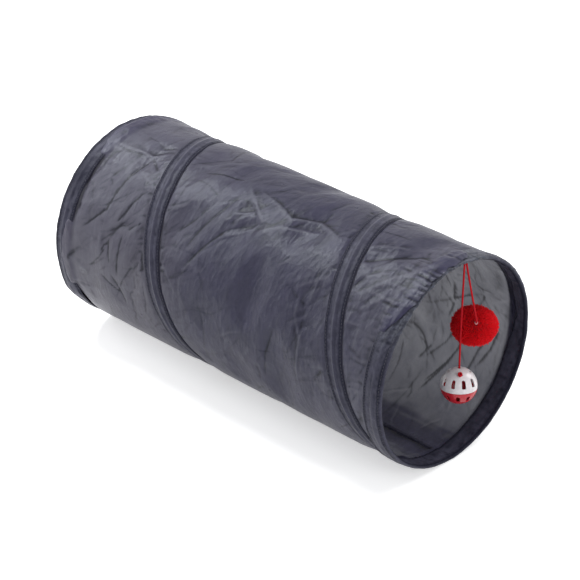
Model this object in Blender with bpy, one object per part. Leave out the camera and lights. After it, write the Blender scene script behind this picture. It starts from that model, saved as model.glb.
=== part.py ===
"""Pop-up cat tunnel: a fabric tube on spring wire, with a ball and a pom-pom hanging in one mouth.

The tunnel lies along X with its mouths at -X (far) and +X (near). The origin is on the floor
under its middle. A place on the tube is given by x, by r, its distance from the tube's axis, and
by an angle that starts at the bottom and rises over the -Y side.
"""

import math

import bmesh
import bpy
import numpy as np
from mathutils import Matrix, Vector

MM = 0.001
GAP = 0.3 * MM  # between pieces that touch

# The tube
TUBE_LENGTH = 500 * MM
TUBE_RADIUS = 120 * MM
REST_FLAT = 30 * MM  # width of the flat that the hems are pressed to where they stand
TURN_STATIONS = 47  # places round one turn where every sweep has a section
SKIN_THICKNESS = 0.6 * MM
SKIN_LENGTHWAYS_STEPS = 18  # between the hems
HEM_WIDTH = 25 * MM
HEM_CLOTH = 0.8 * MM
HEM_FOLD_CHAMFER = 1.0 * MM
SKIN_IN_HEM = 6 * MM  # how far the skin's ends reach between a hem's two layers

# The skin's main folds, where the cloth between its seams lies inside the plain tube
FOLD_DEPTH = 3.4 * MM
FOLD_BOTTOM_SHARE = 0.35  # of the depth, where the tube lies on the floor
FOLD_MARGIN = 3 * MM  # from a seam to where the folds start
FOLD_FADE = 20 * MM  # from there to their full depth
FOLD_WAVES_ALONG = 3.3  # in the tube's length
FOLD_WAVES_ROUND = 3
FOLD_CROSSING_WAVES_ALONG = 5.2
FOLD_CROSSING_WAVES_ROUND = 5
FOLD_TAUT_ANGLES = (math.radians(37), math.radians(217))  # the photograph's straight outlines
FOLD_TAUT_SPAN = math.radians(42)  # to each side of them
FOLD_TAUT_SHARE = 0.2

# The spring wire
WIRE_RADIUS = 0.75 * MM
WIRE_SIDES = 6
FERRULE_WALL = 0.45 * MM
FERRULE_CLEARANCE = 0.2 * MM
FERRULE_SLIT = 1.2 * MM
FERRULE_STEPS = 1  # stations along the ferrule
RING_WIRE_INSET = 11.8 * MM  # from the mouth's edge

# The helix: where its casing's middle line runs
HELIX_LEAD_SHARE = 0.546  # of the tube's length, travelled in one turn
HELIX_START_SHARE = 0.5238  # of the tube's length, where the lead's line crosses the bottom
HELIX_SWAY = 5.5 * MM  # the turns lean a little
HELIX_SWAY_ANGLE = math.radians(230)
HELIX_MERGE_POWER = 20  # how sharply the helix turns into a ring
HELIX_FIRST_STATION = -3
HELIX_LAST_STATION = 93
CASING_WIDTH = 24.5 * MM  # along the tube
CASING_CLOTH = 0.8 * MM
CASING_FIRST_STATION = 3
CASING_LAST_STATION = 86
CASING_LEAST_HALF = 3.2 * MM
RIDGE_SLOPE = 0.3 * MM

# The toys' cord
CORD_RADIUS = 1.1 * MM
CORD_BEVEL_RESOLUTION = 2
CORD_STEP_DIAMETERS = 2.5
CORD_BEND = 5 * MM  # length of the bend where a strand turns into its knot
BALL_CORD_BOW = 0.6 * MM
BALL_CORD_SHARES = ((0.3, 0.6), (0.6, 1.0), (0.85, 0.6))  # along the strand, and of its bow
ROUND_END_STEPS = 3
ROUND_END_LATITUDE = math.radians(72)
ANCHOR_INSET = 16.2 * MM  # from the mouth's edge
ANCHOR_Y = 27.5 * MM
ANCHOR_KNOT_RADIUS = 2.4 * MM
ANCHOR_KNOT_HEIGHT = 1.8 * MM
ANCHOR_NECK_RADIUS = 1.1 * MM
ANCHOR_HOLE_RADIUS = 1.7 * MM
ANCHOR_BEAD_RADIUS = 2.6 * MM
ANCHOR_BEAD_HEIGHT = 2.8 * MM
ANCHOR_SEGMENTS = 12
CORD_TOP_LENGTH = 3 * MM
CORD_SPREAD = 1.5 * MM  # each strand leaves this far from the anchor's middle

# The ball
BALL_RADIUS = 20 * MM
BALL_WALL = 1.2 * MM
BALL_SEAM_DROP = 2.4 * MM  # the seam lies this far below the ball's middle
BALL_SEGMENTS = 36
SHELL_STEPS = 9
BALL_HEIGHT = 77.4 * MM  # of its middle
BALL_TILT = math.radians(8)
BALL_FACING = math.radians(43.4)  # the way the cord's knot faces, from -Y towards +X
BALL_CORD_HOLE_RADIUS = 1.7 * MM
INSIDE_CORD_STEP = 1.6 * MM
INSIDE_CORD_DEPTH = 3.5 * MM  # inside the wall, where it turns out to its slot
BALL_LEAN = 1.4 * MM  # the strand's foot hangs this far towards -Y from its top
SLOTS_ROUND = 10
SLOT_WIDTH = 4.2 * MM
UPPER_SLOT_LOW = math.radians(9)
UPPER_SLOT_HIGH = math.radians(37)
LOWER_SLOT_LOW = math.radians(-42)
LOWER_SLOT_HIGH = math.radians(-18)
UPPER_SLOT_TURN = math.radians(12.5)
LOWER_SLOT_TURN = math.radians(-6)
ARCH_STEPS = 4
CROWN_SLOTS = 4
OVAL_STEPS = 10
CROWN_SLOT_LATITUDE = math.radians(54)
CROWN_SLOT_LENGTH = 6.4 * MM
CROWN_SLOT_WIDTH = 2.8 * MM
CORD_KNOT_RADIUS = 2.6 * MM
CORD_KNOT_LENGTH = 3.6 * MM
KNOT_SHARES = ((0.25, 0.9), (0.5, 1.0), (0.8, 0.85), (1.0, 0.4))  # along it, and of its radius
SPIN_CLEARANCE = 1.0 * MM  # between the strand's end and the cord inside the ball

# The bell in the ball
BELL_RADIUS = 6 * MM
BELL_WALL = 0.5 * MM
BELL_SEGMENTS = 20
BELL_STEPS = 5
BELL_SLOT_WIDTH = 1.2 * MM
BELL_SLOT_LENGTH = 9 * MM
BELL_SLOT_TOP = 3 * MM  # below the bell's middle
PELLET_RADIUS = 2.2 * MM
PELLET_SUBDIVISIONS = 3

# The pom-pom
POMPOM_RADIUS = 25.2 * MM
POMPOM_HALF_HEIGHT = 20.6 * MM
POMPOM_INSET = 21 * MM  # of its middle, from the mouth's edge
POMPOM_Y = 52.7 * MM
POMPOM_HEIGHT = 135.2 * MM  # of its middle
POMPOM_TIE_LATITUDE = math.radians(42)
POMPOM_SUBDIVISIONS = 4
POMPOM_LUMP = 0.3 * MM
POMPOM_LUMPS_ROUND = 7
TIE_RADIUS = 2.0 * MM
TIE_THICKNESS = 1.4 * MM
TIE_WAIST_RADIUS = 1.0 * MM
TIE_HOLE_RADIUS = 1.4 * MM
TIE_SEGMENTS = 12

OVERRUN = 3 * MM  # how far cutters run past what they cut

# Radii worked out from the sizes above, from the outside in
REST_HALF_ANGLE = math.asin(REST_FLAT / 2 / TUBE_RADIUS)
AXIS_HEIGHT = TUBE_RADIUS * math.cos(REST_HALF_ANGLE)
HALF_LENGTH = TUBE_LENGTH / 2
HEM_OUTER_INSIDE = TUBE_RADIUS - HEM_CLOTH
FERRULE_HALF_HEIGHT = WIRE_RADIUS + FERRULE_CLEARANCE + FERRULE_WALL
WIRE_PATH_RADIUS = HEM_OUTER_INSIDE - GAP - FERRULE_HALF_HEIGHT
SKIN_RADIUS = WIRE_PATH_RADIUS - WIRE_RADIUS - GAP
HEM_INNER_OUTSIDE = SKIN_RADIUS - SKIN_THICKNESS - GAP
HEM_INNER_RADIUS = HEM_INNER_OUTSIDE - HEM_CLOTH
HEM_EDGE = HALF_LENGTH - HEM_WIDTH
RING_WIRE_X = HALF_LENGTH - RING_WIRE_INSET
HELIX_END_X = RING_WIRE_X - 2 * WIRE_RADIUS - FERRULE_CLEARANCE
HELIX_LEAD = TUBE_LENGTH * HELIX_LEAD_SHARE
HELIX_START = TUBE_LENGTH * HELIX_START_SHARE
ANCHOR_X = HALF_LENGTH - ANCHOR_INSET
POMPOM_X = HALF_LENGTH - POMPOM_INSET

TAFFETA = (0.085, 0.088, 0.105)
TAFFETA_DOUBLE = (0.05, 0.052, 0.066)
STEEL = (0.55, 0.56, 0.58)
CORD_RED = (0.62, 0.02, 0.04)
YARN_RED = (0.42, 0.004, 0.012)
SHELL_WHITE = (0.86, 0.83, 0.85)
SHELL_RED = (0.55, 0.02, 0.035)
BRASS = (0.78, 0.62, 0.3)
THREAD_PINK = (0.75, 0.35, 0.38)


def clear_scene():
    for obj in list(bpy.data.objects):
        bpy.data.objects.remove(obj, do_unlink=True)


def give_material(obj, colour, roughness, metallic=0.0):
    material = bpy.data.materials.new(obj.name)
    material.use_nodes = True
    shader = material.node_tree.nodes["Principled BSDF"]
    shader.inputs["Base Color"].default_value = (*colour, 1)
    shader.inputs["Roughness"].default_value = roughness
    shader.inputs["Metallic"].default_value = metallic
    obj.data.materials.append(material)


def add_object(name, data, parent=None):
    obj = bpy.data.objects.new(name, data)
    bpy.context.scene.collection.objects.link(obj)
    obj.parent = parent
    return obj


def add_empty(name, place, parent=None):
    """An empty on a joint's axis, to which the moving pieces are parented."""
    empty = add_object(name, None, parent)
    start = parent.matrix_world.translation if parent else Vector()
    empty.location = Vector(place) - start
    bpy.context.view_layer.update()
    return empty


def shade(mesh, sharp_degrees=40):
    mesh.shade_smooth()
    mesh.set_sharp_from_angle(angle=math.radians(sharp_degrees))


def mesh_object(name, made, parent=None):
    """The bmesh, which is in world coordinates, as an object whose origin is at its parent's."""
    bmesh.ops.recalc_face_normals(made, faces=made.faces)
    if parent:
        bmesh.ops.translate(made, verts=made.verts, vec=-parent.matrix_world.translation)
    mesh = bpy.data.meshes.new(name)
    made.to_mesh(mesh)
    made.free()
    shade(mesh)
    return add_object(name, mesh, parent)


def cut(obj, cutter):
    cutter.hide_render = True
    cutter.display_type = "WIRE"
    boolean = obj.modifiers.new("cut_" + cutter.name, "BOOLEAN")
    boolean.object = cutter
    boolean.operation = "DIFFERENCE"
    boolean.solver = "EXACT"


# Sweeps round the tube


def station_angle(index):
    """The angle of a station. The first and last of a turn are the two edges of the rest flat."""
    turn, step = divmod(index, TURN_STATIONS)
    spacing = (2 * math.pi - 2 * REST_HALF_ANGLE) / (TURN_STATIONS - 1)
    return turn * 2 * math.pi + REST_HALF_ANGLE + step * spacing


def on_tube(x, radius, angle):
    return Vector((x, -radius * math.sin(angle), AXIS_HEIGHT - radius * math.cos(angle)))


def sweep(name, profile_at, first, last, closed):
    """A solid swept round the tube's axis. profile_at gives a station's outline as (x, r) points."""
    made = bmesh.new()
    rings = []
    for index in range(first, last + 1):
        angle = station_angle(index)
        rings.append([made.verts.new(on_tube(x, r, angle)) for x, r in profile_at(angle)])
    pairs = list(zip(rings, rings[1:]))
    if closed:
        pairs.append((rings[-1], rings[0]))
    for ring, following in pairs:
        for i in range(len(ring)):
            j = (i + 1) % len(ring)
            made.faces.new((ring[i], ring[j], following[j], following[i]))
    if not closed:
        made.faces.new(rings[0])
        made.faces.new(rings[-1])
    return mesh_object(name, made)


def whole_turn(name, profile):
    return sweep(name, lambda angle: profile, 0, TURN_STATIONS - 1, closed=True)


def wire_profile(x, stretch=1.0):
    points = []
    for side in range(WIRE_SIDES):
        turn = 2 * math.pi * side / WIRE_SIDES
        points.append(
            (
                x + WIRE_RADIUS * stretch * math.cos(turn),
                WIRE_PATH_RADIUS + WIRE_RADIUS * math.sin(turn),
            )
        )
    return points


# The helix's path


def helix_line(angle):
    """Where the casing's middle line would run if it went on past the hems."""
    sway = HELIX_SWAY * math.cos(angle - HELIX_SWAY_ANGLE)
    return HELIX_START - HELIX_LEAD * angle / (2 * math.pi) + sway


def helix_x(angle):
    """The same line, turning smoothly into the two end rings."""
    share = helix_line(angle) / HELIX_END_X
    power = HELIX_MERGE_POWER
    return HELIX_END_X * share / (1 + abs(share) ** power) ** (1 / power)


def helix_stretch():
    """How much longer a section across the wire is along the tube than across the wire."""
    return math.hypot(1, HELIX_LEAD / (2 * math.pi * WIRE_PATH_RADIUS))


def casing_profile(angle):
    """The strip lies on the skin and rises over the wire. Its sides keep to the straight helix."""
    middle = helix_x(angle)
    half = CASING_WIDTH / 2
    low = min(helix_line(angle) - half, middle - CASING_LEAST_HALF)
    high = max(helix_line(angle) + half, middle + CASING_LEAST_HALF)
    under = SKIN_RADIUS + GAP
    over_wire = WIRE_PATH_RADIUS + WIRE_RADIUS + GAP
    inside = WIRE_RADIUS * helix_stretch() + GAP
    foot = inside + RIDGE_SLOPE
    outside = inside + CASING_CLOTH
    outside_foot = foot + CASING_CLOTH + RIDGE_SLOPE
    return [
        (low, under + CASING_CLOTH),
        (middle - outside_foot, under + CASING_CLOTH),
        (middle - outside, over_wire + CASING_CLOTH),
        (middle + outside, over_wire + CASING_CLOTH),
        (middle + outside_foot, under + CASING_CLOTH),
        (high, under + CASING_CLOTH),
        (high, under),
        (middle + foot, under),
        (middle + inside, over_wire),
        (middle - inside, over_wire),
        (middle - foot, under),
        (low, under),
    ]


def least_helix_gap():
    """The least distance between the helix wire's own turns, measured on its stations."""
    points = []
    for index in range(HELIX_FIRST_STATION, HELIX_LAST_STATION + 1):
        angle = station_angle(index)
        points.append(on_tube(helix_x(angle), WIRE_PATH_RADIUS, angle))
    points = np.array(points)
    least = math.inf
    for index in range(len(points) - TURN_STATIONS // 2):
        others = points[index + TURN_STATIONS // 2 :]
        least = min(least, np.linalg.norm(others - points[index], axis=1).min())
    return least - 2 * WIRE_RADIUS


# The tube's pieces


def fold_depth(x, angle):
    """Two sets of slanting waves that cross. They die out towards the hems and the casing."""
    along = 2 * math.pi * x / TUBE_LENGTH
    first = math.sin(FOLD_WAVES_ALONG * along + FOLD_WAVES_ROUND * angle)
    second = math.cos(FOLD_CROSSING_WAVES_ALONG * along - FOLD_CROSSING_WAVES_ROUND * angle)
    wave = (1 + first * second) / 2
    to_near_turn = abs(x - helix_x(angle)) - CASING_WIDTH / 2
    to_far_turn = abs(x - helix_x(angle + 2 * math.pi)) - CASING_WIDTH / 2
    to_seam = min(HEM_EDGE - abs(x), to_near_turn, to_far_turn)
    fade = min(max((to_seam - FOLD_MARGIN) / FOLD_FADE, 0), 1)
    upper = (1 - math.cos(angle)) / 2
    fade = fade * (FOLD_BOTTOM_SHARE + (1 - FOLD_BOTTOM_SHARE) * upper)
    for taut in FOLD_TAUT_ANGLES:
        apart = abs((angle - taut + math.pi) % (2 * math.pi) - math.pi)
        near = (1 + math.cos(math.pi * min(apart / FOLD_TAUT_SPAN, 1))) / 2
        fade = fade * (1 - (1 - FOLD_TAUT_SHARE) * near)
    return FOLD_DEPTH * wave * fade


def skin_profile(angle):
    end = HEM_EDGE + SKIN_IN_HEM
    last = HEM_EDGE - FOLD_MARGIN
    steps = SKIN_LENGTHWAYS_STEPS
    xs = [end] + [last - 2 * last * i / steps for i in range(steps + 1)] + [-end]
    outside = [(x, SKIN_RADIUS - fold_depth(x, angle)) for x in xs]
    return outside + [(x, r - SKIN_THICKNESS) for x, r in reversed(outside)]


def make_skin():
    skin = sweep("skin", skin_profile, 0, TURN_STATIONS - 1, closed=True)
    give_material(skin, TAFFETA, 0.45)
    return skin


def make_hem(name, side):
    """A strip folded over the mouth's edge: its two layers hold the skin's end and the ring wire."""
    fold = HALF_LENGTH
    fold_inside = fold - HEM_CLOTH
    corner = HEM_FOLD_CHAMFER
    profile = [
        (HEM_EDGE, TUBE_RADIUS),
        (fold - corner, TUBE_RADIUS),
        (fold, TUBE_RADIUS - corner),
        (fold, HEM_INNER_RADIUS + corner),
        (fold - corner, HEM_INNER_RADIUS),
        (HEM_EDGE, HEM_INNER_RADIUS),
        (HEM_EDGE, HEM_INNER_OUTSIDE),
        (fold_inside, HEM_INNER_OUTSIDE),
        (fold_inside, HEM_OUTER_INSIDE),
        (HEM_EDGE, HEM_OUTER_INSIDE),
    ]
    hem = whole_turn(name, [(side * x, r) for x, r in profile])
    give_material(hem, TAFFETA_DOUBLE, 0.5)
    return hem


def make_ring_wire(name, side):
    ring = whole_turn(name, wire_profile(side * RING_WIRE_X))
    give_material(ring, STEEL, 0.3, 1.0)
    return ring


def make_helix_wire():
    wire = sweep(
        "helix_wire",
        lambda angle: wire_profile(helix_x(angle), helix_stretch()),
        HELIX_FIRST_STATION,
        HELIX_LAST_STATION,
        closed=False,
    )
    give_material(wire, STEEL, 0.3, 1.0)
    return wire


def make_casing():
    """The strip's ends stop at the hems' edges."""
    casing = sweep(
        "helix_casing", casing_profile, CASING_FIRST_STATION, CASING_LAST_STATION, closed=False
    )
    for side, name in ((1, "near_hem_line"), (-1, "far_hem_line")):
        made = bmesh.new()
        bmesh.ops.create_cube(made, size=1)
        width = 2 * (TUBE_RADIUS + OVERRUN)
        bmesh.ops.scale(made, verts=made.verts, vec=(HALF_LENGTH, width, width))
        middle = side * (HEM_EDGE - GAP + HALF_LENGTH / 2)
        bmesh.ops.translate(made, verts=made.verts, vec=(middle, 0, AXIS_HEIGHT))
        cut(casing, mesh_object(name, made))
    give_material(casing, TAFFETA_DOUBLE, 0.5)
    return casing


def make_ferrule(name, side, first):
    """A strip crimped round the ring wire and the helix wire's end, with its slit towards the mouth."""

    def profile(angle):
        bore = WIRE_RADIUS + FERRULE_CLEARANCE
        middle = WIRE_PATH_RADIUS
        ring = RING_WIRE_X + bore
        helix = abs(helix_x(angle)) - bore * helix_stretch()
        slit = FERRULE_SLIT / 2
        outer = bore + FERRULE_WALL
        points = [
            (ring + FERRULE_WALL, middle + slit),
            (ring + FERRULE_WALL, middle + outer),
            (helix - FERRULE_WALL, middle + outer),
            (helix - FERRULE_WALL, middle - outer),
            (ring + FERRULE_WALL, middle - outer),
            (ring + FERRULE_WALL, middle - slit),
            (ring, middle - slit),
            (ring, middle - bore),
            (helix, middle - bore),
            (helix, middle + bore),
            (ring, middle + bore),
            (ring, middle + slit),
        ]
        return [(side * x, r) for x, r in points]

    ferrule = sweep(name, profile, first, first + FERRULE_STEPS, closed=False)
    give_material(ferrule, STEEL, 0.35, 1.0)
    return ferrule


# Shared shapes for the toys


def turned(profile, segments, place, turn=None):
    """A closed turned solid: profile is an outline of (radius, height) round a vertical axis."""
    made = bmesh.new()
    rings = []
    for radius, height in profile:
        if radius == 0:
            rings.append([made.verts.new((0, 0, height))])
            continue
        ring = []
        for step in range(segments):
            angle = 2 * math.pi * step / segments
            ring.append(
                made.verts.new((radius * math.cos(angle), radius * math.sin(angle), height))
            )
        rings.append(ring)
    follow = rings[1:] + ([rings[0]] if len(rings[0]) > 1 else [])
    for ring, following in zip(rings, follow):
        for i in range(segments):
            j = (i + 1) % segments
            corners = [
                ring[i % len(ring)],
                ring[j % len(ring)],
                following[j % len(following)],
                following[i % len(following)],
            ]
            corners = list(dict.fromkeys(corners))
            if len(corners) > 2:
                made.faces.new(corners)
    matrix = Matrix.Translation(place) @ (turn or Matrix())
    bmesh.ops.transform(made, matrix=matrix, verts=made.verts)
    return made


def arc(radius, start, end, steps):
    """Points (radius, height) on a circle from one latitude to another."""
    points = []
    for step in range(steps + 1):
        latitude = start + (end - start) * step / steps
        points.append((radius * math.cos(latitude), radius * math.sin(latitude)))
    return points


def smooth_route(points, spacing):
    """Points at an even spacing on a smooth curve through the route's own points."""
    points = np.array(points)
    padded = np.vstack([2 * points[0] - points[1], points, 2 * points[-1] - points[-2]])
    dense = []
    shares = np.linspace(0, 1, 40, endpoint=False)
    for p0, p1, p2, p3 in zip(padded, padded[1:], padded[2:], padded[3:]):
        for s in shares:
            dense.append(
                (
                    2 * p1
                    + (p2 - p0) * s
                    + (2 * p0 - 5 * p1 + 4 * p2 - p3) * s**2
                    + (3 * p1 - p0 - 3 * p2 + p3) * s**3
                )
                / 2
            )
    dense.append(points[-1])
    dense = np.array(dense)
    along = np.concatenate([[0], np.cumsum(np.linalg.norm(np.diff(dense, axis=0), axis=1))])
    count = max(2, round(along[-1] / spacing) + 1)
    places = np.linspace(0, along[-1], count)
    return [Vector([np.interp(place, along, dense[:, axis]) for axis in range(3)]) for place in places]


def cord_object(name, route, parent, radii):
    """A cord along its route. The radii are shares of the cord's own."""
    curve = bpy.data.curves.new(name, "CURVE")
    curve.dimensions = "3D"
    curve.bevel_depth = CORD_RADIUS
    curve.bevel_resolution = CORD_BEVEL_RESOLUTION
    curve.use_fill_caps = True
    spline = curve.splines.new("POLY")
    spline.points.add(len(route) - 1)
    start = parent.matrix_world.translation
    for point, place, radius in zip(spline.points, route, radii):
        point.co = (*(place - start), 1)
        point.radius = radius
    obj = add_object(name, curve, parent)
    give_material(obj, CORD_RED, 0.6)
    return obj


# The toys' places


def towards_view(latitude):
    """A direction at a latitude, on the side of a toy that faces between -Y and +X."""
    flat = math.cos(latitude)
    side = math.sin(BALL_FACING)
    return Vector((flat * side, -flat * math.cos(BALL_FACING), math.sin(latitude)))


def anchor_levels():
    """The heights of the anchor: its bead's bottom and top, its knot's bottom and top."""
    slope = ANCHOR_Y / HEM_INNER_RADIUS
    under_hem = AXIS_HEIGHT + math.sqrt(HEM_INNER_RADIUS**2 - ANCHOR_Y**2)
    bead_top = under_hem - GAP - ANCHOR_BEAD_RADIUS * slope
    in_hem = AXIS_HEIGHT + math.sqrt(HEM_INNER_OUTSIDE**2 - ANCHOR_Y**2)
    knot_low = in_hem + GAP + ANCHOR_KNOT_RADIUS * slope
    return bead_top - ANCHOR_BEAD_HEIGHT, bead_top, knot_low, knot_low + ANCHOR_KNOT_HEIGHT


ROUND_END = CORD_RADIUS + GAP  # from a pivot, in a strand's round end, to the piece above it
UPPER_PIVOT_HEIGHT = anchor_levels()[0] - ROUND_END
LOWER_PIVOT_HEIGHT = UPPER_PIVOT_HEIGHT - CORD_TOP_LENGTH - ROUND_END
BALL_STRAND_Y = ANCHOR_Y - CORD_SPREAD
POMPOM_STRAND_Y = ANCHOR_Y + CORD_SPREAD
BALL_UPPER_PIVOT = Vector((ANCHOR_X, BALL_STRAND_Y, UPPER_PIVOT_HEIGHT))
BALL_LOWER_PIVOT = Vector((ANCHOR_X, BALL_STRAND_Y, LOWER_PIVOT_HEIGHT))
POMPOM_UPPER_PIVOT = Vector((ANCHOR_X, POMPOM_STRAND_Y, UPPER_PIVOT_HEIGHT))
POMPOM_LOWER_PIVOT = Vector((ANCHOR_X, POMPOM_STRAND_Y, LOWER_PIVOT_HEIGHT))
BALL_AXIS = -towards_view(BALL_TILT - math.pi / 2)
BALL_MIDDLE = Vector((ANCHOR_X, BALL_STRAND_Y - BALL_LEAN, BALL_HEIGHT)) - BALL_RADIUS * Vector(
    (BALL_AXIS.x, BALL_AXIS.y, 0)
)
BALL_CROWN = BALL_MIDDLE + BALL_AXIS * (BALL_RADIUS - BALL_WALL)
BELL_MIDDLE = BALL_MIDDLE - Vector((0, 0, BALL_RADIUS - BALL_WALL - GAP - BELL_RADIUS))
PELLET_MIDDLE = BELL_MIDDLE - Vector((0, 0, BELL_RADIUS - BELL_WALL - GAP - PELLET_RADIUS))
POMPOM_MIDDLE = Vector((POMPOM_X, POMPOM_Y, POMPOM_HEIGHT))


def ball_matrix():
    """Takes the ball's own frame, crown up and cord knot towards -Y, to the world's directions."""
    lean = Vector((0, 0, 1)).rotation_difference(BALL_AXIS).to_matrix().to_4x4()
    return lean @ Matrix.Rotation(BALL_FACING, 4, "Z")


def ball_place(latitude, turn, radius):
    """A place in the ball, by latitude and by the turn from the way its knot faces."""
    flat = math.cos(latitude)
    local = Vector((flat * math.sin(turn), -flat * math.cos(turn), math.sin(latitude)))
    return BALL_MIDDLE + ball_matrix() @ (local * radius)


def pompom_place(direction):
    """The yarn's surface in a direction from its middle. It is a little lumpy."""
    turn = math.atan2(direction.y, direction.x)
    lump = math.sin(POMPOM_LUMPS_ROUND * turn) * math.sin(POMPOM_LUMPS_ROUND * direction.z)
    across = POMPOM_RADIUS - POMPOM_LUMP * (1 - lump) / 2
    up = POMPOM_HALF_HEIGHT - POMPOM_LUMP * (1 - lump) / 2
    return POMPOM_MIDDLE + Vector((direction.x * across, direction.y * across, direction.z * up))


def tie_frame():
    """The tie's foot on the yarn and the direction that it points."""
    direction = towards_view(POMPOM_TIE_LATITUDE)
    squash = (POMPOM_RADIUS / POMPOM_HALF_HEIGHT) ** 2
    normal = Vector((direction.x, direction.y, direction.z * math.sqrt(squash))).normalized()
    return pompom_place(direction), normal


# The toys' pieces


def make_anchor(near_hem, parent):
    """A flat knot between the hem's layers, a neck through the inner one and a bight below it."""
    bead_low, bead_top, knot_low, knot_high = anchor_levels()
    rounding = ANCHOR_BEAD_HEIGHT / 4
    narrow = ANCHOR_BEAD_RADIUS - rounding
    profile = [
        (0, bead_low),
        (narrow, bead_low),
        (ANCHOR_BEAD_RADIUS, bead_low + rounding),
        (ANCHOR_BEAD_RADIUS, bead_top - rounding),
        (narrow, bead_top),
        (ANCHOR_NECK_RADIUS, bead_top),
        (ANCHOR_NECK_RADIUS, knot_low),
        (ANCHOR_KNOT_RADIUS, knot_low),
        (ANCHOR_KNOT_RADIUS, knot_high),
        (0, knot_high),
    ]
    foot = Vector((ANCHOR_X, ANCHOR_Y, 0))
    anchor = mesh_object("toy_cord_anchor", turned(profile, ANCHOR_SEGMENTS, foot), parent)
    give_material(anchor, CORD_RED, 0.6)

    low = bead_top - OVERRUN
    hole = [(0, low), (ANCHOR_HOLE_RADIUS, low), (ANCHOR_HOLE_RADIUS, knot_low), (0, knot_low)]
    cut(near_hem, mesh_object("anchor_hole", turned(hole, ANCHOR_SEGMENTS, foot)))


def make_cord_top(name, pivot, parent):
    """The first stretch of a strand. Its round end turns about the pivot."""
    outline = arc(CORD_RADIUS, math.pi / 2, 0, ROUND_END_STEPS)
    outline[0] = (0, CORD_RADIUS)
    outline += [(CORD_RADIUS, -CORD_TOP_LENGTH), (0, -CORD_TOP_LENGTH)]
    top = mesh_object(name, turned(outline, ANCHOR_SEGMENTS, pivot), parent)
    give_material(top, CORD_RED, 0.6)


def make_strand(name, pivot, route, parent):
    """A strand with a round end about its pivot, and its route from there."""
    ends = arc(CORD_RADIUS, ROUND_END_LATITUDE, 0, ROUND_END_STEPS)[:-1]
    points = [pivot + Vector((0, 0, height)) for radius, height in ends]
    radii = [radius / CORD_RADIUS for radius, height in ends]
    points += smooth_route([pivot, *route], CORD_STEP_DIAMETERS * 2 * CORD_RADIUS)
    radii += [1] * (len(points) - len(radii))
    cord_object(name, points, parent, radii)


def make_ball_cord(parent):
    """It hangs a little bowed, to the middle of the ball's crown hole."""
    span = BALL_CROWN - BALL_LOWER_PIVOT
    bow = Vector((0, -BALL_CORD_BOW, 0))
    route = [
        BALL_LOWER_PIVOT + span * along_share + bow * bow_share
        for along_share, bow_share in BALL_CORD_SHARES
    ]
    make_strand("ball_cord", BALL_LOWER_PIVOT, [*route, BALL_CROWN], parent)


def make_pompom_cord(parent):
    """It runs straight to the tie on the yarn's front, and turns into it at the end."""
    foot, normal = tie_frame()
    end = foot + normal * (2 * GAP + TIE_THICKNESS)
    bend = end + normal * CORD_BEND
    above = bend + (POMPOM_LOWER_PIVOT - bend).normalized() * CORD_BEND
    halfway = (above + POMPOM_LOWER_PIVOT) / 2
    near_end = end + normal * CORD_RADIUS
    turn_in = (bend * 2 + above + end) / 4
    make_strand(
        "pompom_cord", POMPOM_LOWER_PIVOT, [halfway, above, turn_in, near_end, end], parent
    )


def shell_outline(start, end):
    """The outer and the inner side of a shell between two latitudes, inner side last to first."""
    outer = arc(BALL_RADIUS, start, end, SHELL_STEPS)
    inner = arc(BALL_RADIUS - BALL_WALL, end, start, SHELL_STEPS)
    return outer, inner


def arch(low, high, width):
    """A slot's outline: straight sides and a round top, as (across, latitude) points."""
    half = width / 2 / BALL_RADIUS
    outline = [(-half, low), (half, low)]
    for step in range(ARCH_STEPS + 1):
        bend = math.pi * step / ARCH_STEPS
        outline.append((half * math.cos(bend), high - half + half * math.sin(bend)))
    return outline


def oval(latitude, length, height):
    """An oval hole's outline, as (across, latitude) points."""
    outline = []
    for step in range(OVAL_STEPS):
        turn = 2 * math.pi * step / OVAL_STEPS
        across = length / 2 / BALL_RADIUS * math.cos(turn)
        outline.append((across, latitude + height / 2 / BALL_RADIUS * math.sin(turn)))
    return outline


def slot_cutter(name, outline, turns):
    """Holes through the ball's wall, each pointing at its middle."""
    made = bmesh.new()
    middle = sum(latitude for across, latitude in outline) / len(outline)
    for turn in turns:
        layers = []
        for radius in (BALL_RADIUS - BALL_WALL - OVERRUN, BALL_RADIUS + OVERRUN):
            layer = []
            for across, latitude in outline:
                place = ball_place(latitude, turn + across / math.cos(middle), radius)
                layer.append(made.verts.new(place))
            layers.append(layer)
        inner, outer = layers
        made.faces.new(inner)
        made.faces.new(outer)
        for i in range(len(outline)):
            j = (i + 1) % len(outline)
            made.faces.new((inner[i], inner[j], outer[j], outer[i]))
    return mesh_object(name, made)


def slot_turns(count, first):
    return [first + 2 * math.pi * i / count for i in range(count)]


def make_upper_shell(parent):
    seam = math.asin(-BALL_SEAM_DROP / BALL_RADIUS)
    crown = math.acos(BALL_CORD_HOLE_RADIUS / BALL_RADIUS)
    outer, inner = shell_outline(seam, crown)
    made = turned(outer + inner, BALL_SEGMENTS, BALL_MIDDLE, ball_matrix())
    shell = mesh_object("ball_upper_shell", made, parent)
    turns = slot_turns(SLOTS_ROUND, UPPER_SLOT_TURN)
    outline = arch(UPPER_SLOT_LOW, UPPER_SLOT_HIGH, SLOT_WIDTH)
    cut(shell, slot_cutter("upper_slots", outline, turns))
    outline = oval(CROWN_SLOT_LATITUDE, CROWN_SLOT_LENGTH, CROWN_SLOT_WIDTH)
    cut(shell, slot_cutter("crown_slots", outline, slot_turns(CROWN_SLOTS, 0)))
    give_material(shell, SHELL_WHITE, 0.25)


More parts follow.
